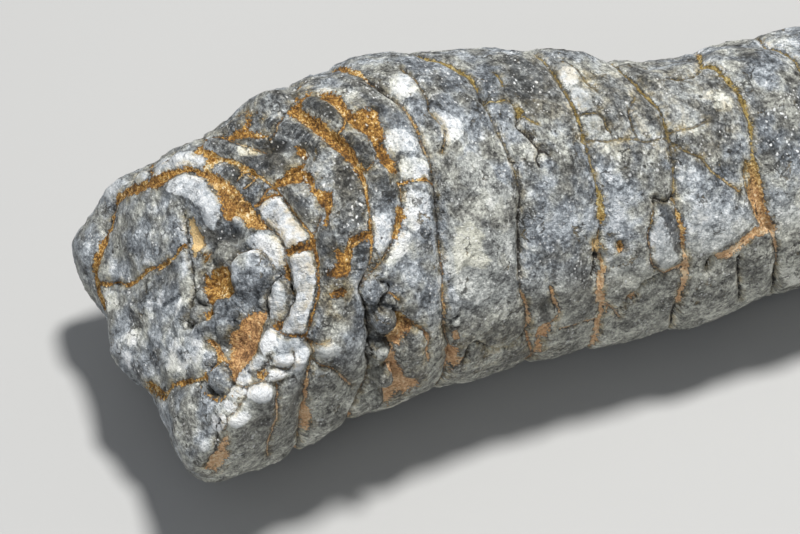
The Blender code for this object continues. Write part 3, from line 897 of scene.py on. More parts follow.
# %% Outlines of the stone that clay has stained
STAIN = {
    "terraces": (0.3, ((205, 128), (240, 106), (285, 92), (320, 82), (372, 100), (400, 140),
        (404, 182), (376, 205), (372, 232), (345, 282), (322, 290), (318, 250), (300, 200),
        (262, 168), (215, 150))),
    "pocket": (0.4, CLAY["pocket_low"]),
    "wedge": (0.2, CLAY["wedge"]),
    "block_row": (0.45, ((250, 200), (275, 190), (320, 240), (320, 300), (308, 340), (285, 340),
        (262, 320), (285, 270), (270, 235))),
    "mouth_edge": (0.35, ((94, 285), (104, 235), (118, 190), (170, 165), (200, 165), (170, 185),
        (125, 205), (110, 250), (106, 290))),
    "crown_band": (0.45, ((500, 60), (560, 58), (620, 70), (720, 62), (745, 100), (740, 140),
        (700, 165), (640, 150), (600, 150), (540, 120), (505, 95))),
    "facet_foot": (0.9, ((318, 282), (345, 268), (355, 290), (345, 320), (325, 320))),
    "knobs": (0.35, ((388, 305), (425, 320), (430, 380), (400, 400), (382, 390))),
    "low_front": (0.4, ((440, 330), (520, 330), (560, 320), (560, 350), (470, 376), (440, 378))),
}

# %% Outlines of the parts rich in glittering crystals
CRYSTALS = {
    "column_top": (1.0, ((296, 166), (306, 158), (320, 160), (331, 176), (335, 196), (326, 202),
        (314, 190), (304, 182))),
    "slab_edge": (1.0, ((340, 192), (352, 186), (368, 200), (371, 226), (352, 230), (338, 226),
        (350, 212))),
    "crown_edge": (1.0, ((316, 84), (330, 82), (345, 90), (356, 106), (342, 112), (330, 98),
        (318, 96))),
    "arc_top": (0.7, ((350, 74), (385, 70), (402, 84), (394, 98), (370, 92), (352, 86))),
    "back_edge": (0.7, ((215, 122), (246, 104), (258, 90), (264, 100), (244, 120), (222, 134))),
    "pocket_edge": (1.0, ((236, 126), (262, 130), (296, 136), (318, 150), (320, 166), (302, 166),
        (288, 146), (262, 142))),
    "crown_line": (0.8, ((395, 60), (440, 64), (472, 82), (468, 112), (430, 100), (405, 84))),
    "shoulder": (0.9, ((508, 72), (540, 76), (554, 92), (542, 99), (515, 92))),
    "far_side": (0.9, ((762, 92), (800, 86), (814, 112), (808, 160), (768, 160))),
    "mass": (0.6, ((226, 240), (240, 236), (248, 250), (238, 262), (228, 258))),
    "side": (0.5, ((604, 150), (668, 146), (672, 180), (640, 190), (606, 182))),
    "arc_wide": (0.6, ((342, 96), (372, 104), (384, 124), (376, 140), (356, 124))),
}

# %% Outlines of the reddish clay and of the cream tones
PEACH = {
    "pocket_low": (0.6, CLAY["pocket_low"]),
    "foot_wedge": (0.9, CLAY["foot_wedge"]),
    "gold": (0.1, CLAY["wedge"]),
    "band_long": (0.7, CLAY["band_long"]),
}
CREAM = {
    "side": (0.9, LIGHT["cream"][1]),
    "crown": (0.8, PALE["far_spot"][1]),
    "sliver": (0.8, CLAY["sliver"]),
    "bead": (0.85, CLAY["band_bead"]),
    "brow_edge": (0.6, ((211, 182), (216, 184), (218, 196), (213, 198))),
    "lens_gold": (0.9, PALE["lens_gold"][1]),
    "mid": (0.45, LIGHT["mid_field"][1]),
    "mid_high": (0.5, LIGHT["cream_2"][1]),
}


# %% Measure how far each point is inside each outline
FAR = 9.0
OUTLINE_MARGIN = 2.5 * PX_PER_MM


def smooth_share(share):
    """An even change from 0 to 1 with soft ends."""
    share = np.clip(share, 0, 1)
    return share * share * (3 - 2 * share)


def outline_depth(places):
    """Distance in mm from every skin point to one outline in the view, negative inside."""
    corners = np.array(places, dtype=float)
    low = corners.min(axis=0) - OUTLINE_MARGIN
    high = corners.max(axis=0) + OUTLINE_MARGIN
    close = np.all((base_view > low) & (base_view < high), axis=1) & (facing > 0.02)
    spots = base_view[close]
    best = np.full(len(spots), np.inf)
    inside = np.zeros(len(spots), dtype=bool)
    for a, b in zip(corners, np.roll(corners, -1, axis=0)):
        edge = b - a
        share = np.clip(((spots - a) @ edge) / (edge @ edge), 0, 1)
        gap = np.linalg.norm(spots - a - share[:, None] * edge, axis=1)
        best = np.minimum(best, gap)
        crosses = (a[1] > spots[:, 1]) != (b[1] > spots[:, 1])
        with np.errstate(divide="ignore", invalid="ignore"):
            meets = a[0] + (spots[:, 1] - a[1]) / (b[1] - a[1]) * edge[0]
        inside ^= crosses & (spots[:, 0] < meets)
    depth = np.full(len(base_points), FAR)
    depth[close] = np.where(inside, -best, best) / PX_PER_MM
    return depth


def soft_patches(patches, edge):
    """Strength of the patches at each point, fading over an edge in mm."""
    total = np.zeros(len(base_points))
    for strength, places in patches.values():
        inside = smooth_share(0.5 - outline_depth(places) / edge)
        total = np.maximum(total, strength * inside)
    return total


stored = {
    "pale": soft_patches(PALE, 0.9),
    "light": soft_patches(LIGHT, 1.2),
    "dark": soft_patches(DARK, 0.7),
    "stain": soft_patches(STAIN, 1.6),
    "cream": soft_patches(CREAM, 0.2),
    "crystals": soft_patches(CRYSTALS, 0.8),
    "peach": soft_patches(PEACH, 1.0),
}
print("soft patches:", ", ".join(stored))

# %% Lay the clay and the blocks on the skin
BLOCK_EDGE = 0.08
RIM_BLOCK_EDGE = 0.16

clay_gap = np.full(len(base_points), FAR)
for places in CLAY.values():
    clay_gap = np.minimum(clay_gap, outline_depth(places))
block_gap = np.full(len(base_points), FAR)
block_tone = np.zeros(len(base_points))
block_rise = np.zeros(len(base_points))
block_edge = np.full(len(base_points), BLOCK_EDGE)
fibre_place = np.zeros(len(base_points))
fibre_amount = np.zeros(len(base_points))
for edge, blocks in ((BLOCK_EDGE, BLOCKS), (RIM_BLOCK_EDGE, RIM_BLOCKS)):
    for shade, rise, strength, stacked, places in blocks.values():
        depth = outline_depth(places)
        along = (base_view - np.mean(places, axis=0)) @ np.array(stacked) / PX_PER_MM
        fibred = strength * np.clip(0.5 - depth / 0.3, 0, 1)
        mine = depth < block_gap
        block_tone = np.where(mine, shade, block_tone)
        block_edge = np.where(mine, edge, block_edge)
        fibre_place = np.where(mine, along, fibre_place)
        fibre_amount = np.where(mine, fibred, fibre_amount)
        block_rise = np.maximum(block_rise, rise * np.sqrt(np.clip(0.3 - depth / 0.9, 0, 1)))
        block_gap = np.minimum(block_gap, depth)
print("points in clay:", int((clay_gap < 0).sum()), "in blocks:", int((block_gap < 0).sum()))

# %% [markdown]
# ## Relief
#
# The relief has three layers. Lumps and hollows give the broken end its landscape. Grooves
# follow the joints, with an edge rounded by weather on both sides. Grain and chipped facets go
# over everything, because no part of a weathered stone is smooth. All of it is real geometry,
# so the outline is rough as well.

# %% Draw points onto the lines, so that each groove has an unbroken bottom
SNAP = 0.15

nearest_way, nearest_clay = (values.copy() for values in near_lines["rings"][:2])
for way, clay, groove in near_lines.values():
    nearer = np.linalg.norm(way, axis=1) < np.linalg.norm(nearest_way, axis=1)
    nearest_way[nearer] = way[nearer]
    nearest_clay[nearer] = clay[nearer]
snapped = np.linalg.norm(nearest_way, axis=1) < SNAP
shift = np.where(snapped[:, None], nearest_way, 0.0)
base_points = base_points + shift
nearest_way = nearest_way - shift
print("points drawn onto a line:", int(snapped.sum()))

# %% Lumps and hollows: place in the view, radius, height
LUMPS = (
    ((145, 235), 3.6, 0.25), ((150, 330), 4.0, 0.35), ((185, 430), 3.2, 0.35),
    ((86, 245), 2.4, 0.35), ((200, 205), 1.9, 0.6), ((178, 186), 1.2, 0.45), ((215, 215), 1.0, 0.3),
    ((200, 240), 1.0, -0.6), ((200, 262), 1.3, -0.75), ((204, 285), 1.4, -0.65),
    ((216, 280), 1.4, -0.6), ((203, 305), 1.1, -0.7), ((229, 236), 1.0, -0.9),
    ((214, 246), 1.0, -0.7), ((247, 306), 1.2, -0.7), ((262, 245), 1.8, 0.4),
    ((228, 256), 1.2, 0.3), ((276, 256), 1.2, 0.3), ((222, 352), 1.3, -0.7),
    ((248, 335), 1.9, -0.6), ((236, 355), 1.4, -0.5), ((266, 147), 1.2, -0.8),
    ((277, 143), 0.7, -0.5), ((289, 298), 0.55, -0.8), ((548, 306), 0.8, -0.8),
    ((110, 209), 0.5, -0.4), ((316, 361), 0.4, -0.3), ((396, 68), 0.4, -0.25),
    ((622, 247), 0.5, -0.4), ((614, 266), 0.4, -0.4), ((518, 158), 0.3, -0.35),
    ((415, 225), 3.0, 0.3), ((470, 180), 3.6, 0.25), ((560, 200), 3.4, 0.2), ((715, 210), 3.0, 0.3),
    ((430, 330), 2.2, 0.2), ((340, 350), 2.4, 0.25), ((570, 290), 2.6, 0.2), ((650, 180), 2.2, 0.2),
    ((345, 200), 1.6, -0.3), ((330, 250), 1.5, -0.4), ((300, 170), 1.0, -0.3),
    ((340, 100), 1.6, -0.3), ((310, 110), 1.2, -0.25), ((250, 130), 1.4, -0.25),
    ((390, 345), 1.8, -0.35), ((390, 385), 1.4, -0.3), ((540, 345), 1.0, -0.3),
    ((270, 97), 2.2, 0.45), ((236, 114), 1.2, -0.25), ((290, 92), 1.0, -0.25),
    ((301, 361), 0.9, 0.3), ((261, 392), 1.1, 0.35), ((240, 419), 1.0, 0.25),
    ((264, 342), 0.8, 0.35), ((208, 446), 0.8, 0.3), ((326, 350), 0.8, 0.2),
)
LUMP_SPREAD = 0.62

relief = np.zeros(len(base_points))
for place, radius, height in LUMPS:
    distance = np.linalg.norm(base_points - pin(place), axis=1)
    relief += height * np.exp(-0.5 * (distance / (LUMP_SPREAD * radius)) ** 2)
print("lumps and hollows:", len(LUMPS))

# %% Round knobs of clear calcite: place in the view, radius, height, darkness
KNOBS = (
    ((203, 291), 0.95, 0.6, 0.2), ((196, 312), 0.8, 0.5, 0.2), ((214, 303), 0.7, 0.5, 0.5),
    ((240, 303), 1.45, 0.45, 0.0), ((263, 298), 0.8, 0.5, 0.1), ((231, 326), 1.45, 0.65, 0.2),
    ((206, 256), 0.5, 0.4, 0.4), ((222, 250), 1.1, 0.5, 0.2), ((250, 272), 2.05, 0.65, -0.15),
    ((216, 378), 1.25, 0.45, 0.1), ((204, 326), 0.6, 0.35, 0.3), ((384, 321), 1.2, 1.15, 0.5),
    ((380, 352), 1.0, 1.15, -0.5), ((383, 376), 0.95, 1.15, -0.2), ((374, 397), 0.95, 1.0, -0.2),
    ((374, 298), 0.7, 0.35, 0.3), ((393, 303), 0.65, 0.3, 0.1), ((413, 300), 0.9, 0.25, 0.0),
    ((450, 312), 0.8, 0.3, 0.2), ((456, 322), 0.5, 0.3, -0.6), ((238, 220), 0.55, 0.4, -0.6),
    ((432, 225), 0.9, 0.2, 0.0),
)
MOAT_DEPTH = 0.4
MOAT_PAINTED_SHADE = 0.6

# Darkness is the knob's own tone; where it is below zero the knob is lightened, painted light on
# knobs that sit in shade. The moat round every knob is darkened too: painted shade in the crease.
for place, radius, height, darkness in KNOBS:
    share = np.linalg.norm(base_points - pin(place), axis=1) / radius
    dome = np.sqrt(np.clip(1 - share * share, 0, 1))
    moat = np.exp(-((share - 1.1) / 0.16) ** 2)
    relief += height * dome - MOAT_DEPTH * height * moat
    knob_tone_and_painted_light = darkness * np.clip(1.4 - 1.4 * share ** 3, 0, 1)
    stored["dark"] += knob_tone_and_painted_light + MOAT_PAINTED_SHADE * moat
stored["dark"] = np.clip(stored["dark"], -1, 2)
print("knobs:", len(KNOBS))

# %% Grooves along the joints: width, depth and width of the worn edge, step between the sides
GROOVES = {
    "rings": (0.34, 0.26, 0.9, 0.13),
    "block joints": (0.32, 0.16, 0.6, 0.0),
    "cracks": (0.26, 0.08, 0.5, 0.0),
}
FULL_CLAY = 0.22
FULL_OPEN = 0.06
OPEN_DEPTH = 0.35
STEP_CHANGE = 0.12
STEP_FADE = 1.3

for kind, (width, worn_depth, worn_width, step) in GROOVES.items():
    way, clay, groove = near_lines[kind]
    way = way - shift
    gap = np.linalg.norm(way, axis=1)
    open_share = 1 - 0.80 * np.clip(clay / FULL_CLAY, 0, 1)
    deeper = np.clip(-clay / FULL_OPEN, 0, 1) * OPEN_DEPTH
    relief -= (groove * open_share + deeper) * np.exp(-(gap / width) ** 2)
    relief -= worn_depth * np.exp(-gap / worn_width)
    relief += step * np.tanh(-way[:, 0] / STEP_CHANGE) * np.exp(-gap / STEP_FADE)
print("grooves:", ", ".join(GROOVES))

# %% Hollows where the clay lies, and blocks that stand proud
CLAY_DEPTH = 0.32
CLAY_SLOPE = 0.45

relief -= CLAY_DEPTH * smooth_share(0.5 - clay_gap / CLAY_SLOPE)
relief += block_rise
print("relief before the grain, mm:", relief.min().round(2), relief.max().round(2))


# %% Grain and chips
def grain(size, octaves, seed):
    """Layered noise, about -1 to 1, with its largest lumps a given size in mm."""
    shift = Vector((seed * 13.7, seed * 5.1, seed * 9.3))
    return np.array([
        noise.fractal(Vector(point) / size + shift, 0.7, 2.1, octaves) for point in base_points
    ])


def chips(size, seed):
    """Flat facets of a chipped break, each leaning its own way."""
    shift = Vector((seed * 3.3, seed * 7.9, seed * 1.7))
    height = np.zeros(len(base_points))
    for index, point in enumerate(base_points):
        spot = Vector(point) / size + shift
        centre = noise.voronoi(spot)[1][0]
        lean = noise.cell_vector(centre * 4.0) - Vector((0.5, 0.5, 0.5))
        height[index] = (spot - centre).dot(lean)
    return height


BROKEN_REACH = 6.0
broken = np.clip((AXIS_WIDE[0] + BROKEN_REACH - base_points[:, 0]) / BROKEN_REACH, 0, 1)
relief += 0.30 * grain(5.5, 2, 1)
relief += (0.16 + 0.05 * broken) * grain(2.0, 3, 2)
relief += (0.22 + 0.20 * broken) * chips(2.6, 3)
relief += 0.16 * chips(1.1, 4)
print("relief, mm:", relief.min().round(2), relief.max().round(2))

# %% Set the points off along their normals, then keep them inside the solid's box
WALL_EASE = 0.30
FLOOR_EASE = 0.10


def eased(room, ease):
    """Room to a wall, bent smoothly so that it never falls below zero."""
    return 0.5 * (room + np.sqrt(room * room + ease * ease))


points = base_points + base_normals * relief[:, None]
for axis, low_ease in enumerate((WALL_EASE, WALL_EASE, FLOOR_EASE)):
    points[:, axis] = solid_low[axis] + eased(points[:, axis] - solid_low[axis], low_ease)
    points[:, axis] = solid_high[axis] - eased(solid_high[axis] - points[:, axis], WALL_EASE)
points[:, 2] -= points[:, 2].min()
print("stone, mm:", points.min(axis=0).round(2), points.max(axis=0).round(2))

# %% Make the mesh
stone_mesh = bpy.data.meshes.new("fossil")
stone_mesh.from_pydata((points * MM).tolist(), [], faces)
stone_mesh.validate()
stone_mesh.polygons.foreach_set("use_smooth", [True] * len(stone_mesh.polygons))
stone = show("fossil", stone_mesh)
print("mesh:", len(stone_mesh.vertices), "points,", len(stone_mesh.polygons), "faces")

# %% Store what the material has to know of each point
down_side = np.clip((-base_normals[:, 1] - 0.35) / 0.3, 0, 1)
down_side *= np.clip((21.0 - base_points[:, 2]) / 4.0, 0, 1)
stored.update({
    "line distance": np.linalg.norm(nearest_way, axis=1),
    "line clay": nearest_clay,
    "patch gap": clay_gap,
    "block gap": block_gap,
    "block tone": block_tone,
    "block edge": block_edge,
    "fibre place": fibre_place,
    "fibre amount": fibre_amount,
    "break face": np.clip((-base_normals[:, 0] - 0.35) / 0.2, 0, 1),
    "low side": down_side,
    "peach": np.maximum(stored["peach"], down_side),
})
for name, values in stored.items():
    layer = stone_mesh.attributes.new(name, "FLOAT", "POINT")
    layer.data.foreach_set("value", values.astype(np.float32))
layer = stone_mesh.attributes.new("line way", "FLOAT_VECTOR", "POINT")
layer.data.foreach_set("vector", nearest_way.astype(np.float32).ravel())
print("stored for each point:", len(stored) + 1, "values")

# %% [markdown]
# ## The material
#
# One material covers the stone, because calcite and clay run into each other on it. It is built
# from small groups: one each for mottled mineral, chips, the joint lines, the fibres of the
# white blocks, specks and crystal sparkle. Every length in the groups is in millimetres too, so
# the stone's own coordinates are scaled up once at the start.

# %% Helpers for wiring nodes
HALF = (0.5, 0.5, 0.5)


def tone(red, green, blue):
    """A colour as seen on a screen, 0 to 255, turned into the linear values Blender uses."""
    def linear(value):
        value /= 255.0
        return value / 12.92 if value <= 0.04045 else ((value + 0.055) / 1.055) ** 2.4
    return (linear(red), linear(green), linear(blue), 1.0)


def put(tree, socket, value):
    """Give an input a number or a colour, or wire a signal into it."""
    if isinstance(value, Signal):
        tree.links.new(value.socket, socket)
    else:
        socket.default_value = value


def add(tree, kind, settings=None, **inputs):
    """A new node in a tree. In the names of its inputs, _ stands for a space."""
    made = tree.nodes.new(kind)
    made.location = (len(tree.nodes) * 180, 0)
    for name, value in (settings or {}).items():
        setattr(made, name, value)
    for name, value in inputs.items():
        put(tree, made.inputs[name.replace("_", " ")], value)
    return made


def outputs(tree, kind, settings=None, **inputs):
    """The outputs of a new node as signals, by name."""
    made = add(tree, kind, settings, **inputs)
    named = {}
    for socket in made.outputs:
        named.setdefault(socket.name, Signal(tree, socket))
    return named


def counted(tree, kind, operation, values, out=0):
    """The output of a new node whose inputs go by their order."""
    made = add(tree, kind, {"operation": operation})
    for socket, value in zip(made.inputs, values):
        put(tree, socket, value)
    return Signal(tree, made.outputs[out])


class Signal:
    """What a socket says at each spot of the stone. A sum with it adds nodes to its tree."""

    def __init__(self, tree, socket):
        self.tree = tree
        self.socket = socket

    def math(self, operation, *others):
        return counted(self.tree, "ShaderNodeMath", operation, (self, *others))

    def __mul__(self, other):
        return self.math("MULTIPLY", other)

    def __add__(self, other):
        return self.math("ADD", other)

    def __sub__(self, other):
        return self.math("SUBTRACT", other)

    def __rsub__(self, other):
        return counted(self.tree, "ShaderNodeMath", "SUBTRACT", (other, self))

    def __rtruediv__(self, other):
        return counted(self.tree, "ShaderNodeMath", "DIVIDE", (other, self))

    def onto(self, base, gain):
        """The base with a gain times this signal on top."""
        return self.math("MULTIPLY_ADD", gain, base)

    def at_least(self, other):
        return self.math("MAXIMUM", other)

    def span(self, low, high, to_low=0.0, to_high=1.0):
        """Turns low..high into 0..1, or another range, smoothly and without overshoot."""
        made = outputs(self.tree, "ShaderNodeMapRange", {"interpolation_type": "SMOOTHSTEP"},
                       Value=self, From_Min=low, From_Max=high, To_Min=to_low, To_Max=to_high)
        return made["Result"]

    def fade(self, low, high):
        return self.span(low, high, 1.0, 0.0)

    def blend(self, first, second, mode="MIX"):
        """A mix of two colours, with this signal as the share of the second."""
        made = add(self.tree, "ShaderNodeMix", {"data_type": "RGBA", "blend_type": mode,
                                                "clamp_factor": True})
        for index, value in ((0, self), (6, first), (7, second)):
            put(self.tree, made.inputs[index], value)
        return Signal(self.tree, made.outputs[2])

    def ramp(self, stops):
        """A colour from stops, each a place from 0 to 1 and a tone."""
        made = add(self.tree, "ShaderNodeValToRGB", Fac=self)
        bar = made.color_ramp
        while len(bar.elements) < len(stops):
            bar.elements.new(1.0)
        for element, (place, colour) in zip(bar.elements, stops.items()):
            element.position = place
            element.color = tone(*colour)
        return Signal(self.tree, made.outputs["Color"])

    def vector(self, operation, *others, out=0):
        return counted(self.tree, "ShaderNodeVectorMath", operation, (self, *others), out)

    def moved(self, way):
        return self.vector("ADD", way)

    def minus(self, other):
        return self.vector("SUBTRACT", other)

    def scaled(self, amount):
        made = outputs(self.tree, "ShaderNodeVectorMath", {"operation": "SCALE"}, Vector=self,
                       Scale=amount)
        return made["Vector"]

    def axes(self):
        return outputs(self.tree, "ShaderNodeSeparateXYZ", Vector=self)

    def parts(self):
        """Three random numbers from a random colour."""
        made = add(self.tree, "ShaderNodeSeparateColor", Color=self)
        return [Signal(self.tree, socket) for socket in made.outputs]

    def drift(self, scale, detail, roughness=0.5):
        """Noise at this place as both a number and a colour, under Fac and Color."""
        return outputs(self.tree, "ShaderNodeTexNoise", Vector=self, Scale=scale,
                       Detail=detail, Roughness=roughness)

    def noise(self, scale, detail, roughness, shift=0.0):
        """Noise at this place as a number. The shift keeps two noises from looking alike."""
        where = self.moved((shift, shift * 0.7, shift * 1.3))
        return where.drift(scale, detail, roughness)["Fac"]

    def cells(self, scale, feature="F1"):
        return outputs(self.tree, "ShaderNodeTexVoronoi", {"feature": feature}, Vector=self,
                       Scale=scale)


# %% A helper that starts a node group
VECTORS = ("Place", "Way", "Normal")


def socket_kind(label):
    return "NodeSocketVector" if label in VECTORS else "NodeSocketFloat"


def group(name, inputs, results):
    """A new node group: its inputs as signals, and a function that ends it."""
    tree = bpy.data.node_groups.new(name, "ShaderNodeTree")
    for label, start in inputs.items():
        socket = tree.interface.new_socket(label, in_out="INPUT", socket_type=socket_kind(label))
        if start is not None:
            socket.default_value = start
    for label in results:
        tree.interface.new_socket(label, in_out="OUTPUT", socket_type=socket_kind(label))

    def end(**made):
        add(tree, "NodeGroupOutput", **made)
        print("group", name, "has", len(tree.nodes), "nodes")
        return tree

    return outputs(tree, "NodeGroupInput"), end


# %% [markdown]
# ### Mottled mineral
#
# Calcite of a fossil is a patchwork of clear, grey and white crystal. Three sizes of noise and
# two of grains add up to one number, which a ramp turns into a tone. The same group makes the
# clay grainy with other colours and sizes.

# %% Build the mottle group
given, end = group(
    "mottle",
    {"Place": None, "Patch size": 3.0, "Grain size": 0.5, "Patches": 1.0, "Grains": 1.0},
    ("Amount", "Grain"))
place = given["Place"]
patch_scale = 1.0 / given["Patch size"]
patch = place.noise(patch_scale, 3.0, 0.6)
middle = place.noise(patch_scale * 3.1, 3.0, 0.65, 31.0)
fine = place.noise(patch_scale * 9.5, 3.0, 0.75, 47.0)
bent = place.moved(place.drift(2.4, 2.0)["Color"].scaled(0.45))
big_grain = bent.cells(1.0 / given["Grain size"])["Color"].parts()[0]
small_grain = bent.cells(2.3 / given["Grain size"])["Color"].parts()[1]
patches = (middle - 0.5).onto((patch - 0.5) * 1.20, 1.10)
grains = (big_grain - 0.5).onto((fine - 0.5) * 1.3, 0.20)
grains = (small_grain - 0.5).onto(grains, 0.22)
amount = patches.onto(0.5, given["Patches"])
amount = grains.onto(amount, given["Grains"])
mottle = end(Amount=amount, Grain=big_grain)

# %% [markdown]
# ### Chips and hairline cracks
#
# Weather breaks the surface into small chips with flat tops, and fine cracks run between some
# of them. Both come from one bent Voronoi pattern: each cell leans its own way, which gives a
# height, and its edges give the cracks. Slow noise hides most cracks, so they start and stop.

# %% Build the chip group
given, end = group(
    "chips",
    {"Place": None, "Chip size": 2.2, "Crack width": 0.1, "Crack share": 0.4},
    ("Height", "Crack", "Tone"))
place = given["Place"]
push = place.drift(0.9, 3.0, 0.6)["Color"].minus(HALF)
bent = place.moved(push.scaled(given["Chip size"] * 0.9))
chip_scale = 1.0 / given["Chip size"]
chip = bent.cells(chip_scale)
lean = chip["Color"].minus(HALF)
height = bent.minus(chip["Position"]).vector("DOT_PRODUCT", lean, out=1)
from_edge = bent.cells(chip_scale, "DISTANCE_TO_EDGE")["Distance"] * given["Chip size"]
crack = from_edge.fade(given["Crack width"] * 0.3, given["Crack width"])
cut = 0.70 - given["Crack share"] * 0.42
shown = place.noise(0.5, 4.0, 0.65, 17.0).span(cut, cut + 0.05)
chipping = end(Height=height, Crack=crack * shown, Tone=chip["Color"].parts()[1])

# %% [markdown]
# ### Joint lines
#
# The skin stores the way to the nearest joint, and the length of that way is the distance to
# it. Far from a joint the plain distance is used instead, so two joints never make a false
# third one between them. Noise frets the edge of the clay. On the side towards the wide end a
# thin strip beside the clay is marked for painted shadow, which the material paints dark.

# %% Build the joint group
NEAR_JOINT = 0.45
THINNEST_GAP = 0.005

given, end = group(
    "joint lines",
    {"Place": None, "Way": None, "Distance": 1.0, "Clay": 0.1, "Patch gap": 9.0},
    ("Clay gap", "Line gap", "Undercut", "Open", "Filled"))
place = given["Place"]
half_width = given["Clay"]
straight = given["Way"].vector("LENGTH", out=1)
far = given["Distance"].math("GREATER_THAN", NEAR_JOINT)
gap = far.onto(straight, given["Distance"] - straight)
fret = place.noise(1.3, 4.0, 0.7, 3.0)
fray = place.noise(4.2, 3.0, 0.7, 12.0) - 0.5
ragged = place.noise(2.2, 4.0, 0.7, 8.0) - 0.5
frayed = fray.onto(gap, 0.46)
swell = fret.span(0.36, 0.64, half_width.span(0.05, 0.30, 0.15, 0.60), 1.60)
line_gap = frayed - half_width.at_least(0.0) * swell
opening = (half_width * -1.0).at_least(0.0)
open_gap = frayed - opening * swell
open_mask = open_gap.fade(0.0, 0.06) * opening.math("GREATER_THAN", THINNEST_GAP)
ragged_gap = fray.onto(ragged.onto(given["Patch gap"], 0.9), 0.7)
# A strip just outside the clay, on the side towards the wide end only: painted shadow.
lip = line_gap.span(-0.04, 0.02) * line_gap.fade(0.04, 0.16)
painted_shadow_strip = lip * given["Way"].axes()["X"].span(0.0, 0.06) * fret.span(0.40, 0.55)
filled = half_width.span(0.03, 0.12, 0.6, 1.0).at_least(ragged_gap.fade(0.0, 0.05))
joint_lines = end(Clay_gap=line_gap.math("MINIMUM", ragged_gap), Line_gap=gap,
                  Undercut=painted_shadow_strip, Open=open_mask, Filled=filled)

# %% [markdown]
# ### Fibres of the white blocks
#
# The white blocks grew as thin blades stacked side by side. Their place along the stack is
# stored on the skin, so the blades are bands of noise stretched across it.

# %% Build the fibre group
given, end = group("fibres", {"Place": None, "Along": 0.0, "Amount": 0.0}, ("Shade", "Height"))
place = given["Place"]
bend = place.noise(0.9, 2.0, 0.5, 2.0) - 0.5
along = bend.onto(given["Along"], 0.25)
stack = outputs(along.tree, "ShaderNodeCombineXYZ", X=along * 3.3)["Vector"]
band = stack.moved(place.scaled(0.22)).drift(1.0, 3.0, 0.6)["Fac"].span(0.36, 0.62)
fibres = end(Shade=(1.0 - band) * given["Amount"], Height=band * 0.05 * given["Amount"])

# %% [markdown]
# ### Specks
#
# Pits and single crystals are small, crisp and scattered. A Voronoi pattern has one middle in
# each cell. A share of the cells is chosen by their own random colour, and a spot is drawn
# round the middle of each, of a size that differs from cell to cell.

# %% Build the speck group
given, end = group(
    "specks", {"Place": None, "Spacing": 0.6, "Share": 0.2, "Spot": 0.3}, ("Mask",))
place = given["Place"]
bent = place.moved(place.drift(5.0, 1.0)["Color"].scaled(0.22))
spots = bent.cells(1.0 / given["Spacing"])
parts = spots["Color"].parts()
chosen = parts[0].math("LESS_THAN", given["Share"])
spot_reach = given["Spot"] * parts[1].onto(0.4, 0.9)
specks = end(Mask=chosen * spots["Distance"].fade(spot_reach * 0.7, spot_reach))

# %% [markdown]
# ### Crystal sparkle
#
# Broken calcite glitters, because each small crystal ends in a flat face that mirrors the light
# its own way. Each cell of a fine Voronoi pattern gets one leaning normal, on a share of cells
# only, and the same share is glossier; the material also paints it near white, a painted highlight.

# %% Build the sparkle group
given, end = group(
    "sparkle",
    {"Place": None, "Crystal size": 0.25, "Share": 0.2, "Lean": 0.6, "Normal": None},
    ("Normal", "Mask"))
facets = given["Place"].cells(1.0 / given["Crystal size"])
chosen = facets["Color"].parts()[0].math("LESS_THAN", given["Share"])
mask = chosen * facets["Distance"].fade(0.25, 0.5)
lean = facets["Color"].minus(HALF).scaled(mask * given["Lean"])
sparkle = end(Normal=given["Normal"].moved(lean).vector("NORMALIZE"), Mask=mask)

# %% [markdown]
# ### Put the material together
#
# The calcite comes first, then its white and dark parts, then the stain that clay leaves in
# the stone beside it, then the clay itself, and last a dark tone in and beside the joints, which
# is partly dirt and partly painted shade. Glittering cells are painted near white, a painted
# highlight.

# %% Weathered calcite and clay
PER_METRE = 1000.0
GRAIN_STRETCH = (1.0, 0.82, 1.0)

material = bpy.data.materials.new("weathered calcite and clay")
material.use_nodes = True
tree = material.node_tree
tree.nodes.clear()
place = outputs(tree, "ShaderNodeTexCoord")["Object"].scaled(PER_METRE)
place = place.vector("MULTIPLY", GRAIN_STRETCH)
coordinates = place.axes()


def kept(name, output="Fac"):
    """A value that the skin stores at each point."""
    return outputs(tree, "ShaderNodeAttribute", {"attribute_name": name})[output]


def use(group_tree, **inputs):
    return outputs(tree, "ShaderNodeGroup", {"node_tree": group_tree}, Place=place, **inputs)


calcite = use(mottle, Patch_size=2.6, Grain_size=0.40, Patches=0.85, Grains=0.92)
lines = use(joint_lines, Way=kept("line way", "Vector"), Distance=kept("line distance"),
            Clay=kept("line clay"), Patch_gap=kept("patch gap"))
blades = use(fibres, Along=kept("fibre place"), Amount=kept("fibre amount"))
big_chips = use(chipping, Chip_size=2.3, Crack_width=0.13, Crack_share=0.36)
small_chips = use(chipping, Chip_size=0.85, Crack_width=0.10, Crack_share=0.24)

# %% Where the blocks are, and how calm or mottled each part is
break_face = kept("break face")
low_side = kept("low side")
# The light patches are partly paler stone and partly painted light; the dark patches and the knob
# moats are partly darker stone and partly painted shade.
light = kept("light")
dark = kept("dark")
pale = kept("pale")
cream = kept("cream")
in_terraces = kept("stain")

block_noise = place.noise(1.6, 3.0, 0.6, 5.0) - 0.5
edge_width = kept("block edge")
in_block = block_noise.onto(kept("block gap"), 0.5).fade(edge_width * -1.0, edge_width)
block_shade = in_block * kept("block tone")
smooth = block_shade.math("ABSOLUTE").span(0.29, 0.35)
calm = (smooth * 1.1).at_least(dark).at_least(light * 0.7).at_least(break_face * 0.5)
cloud = place.noise(0.85, 2.0, 0.5, 71.0) - 0.5
clouded = cloud.onto(calcite["Amount"] - 0.5, break_face.onto(0.45, 0.35))
shade = clouded.onto(0.5, calm.onto(1.0, -0.45))
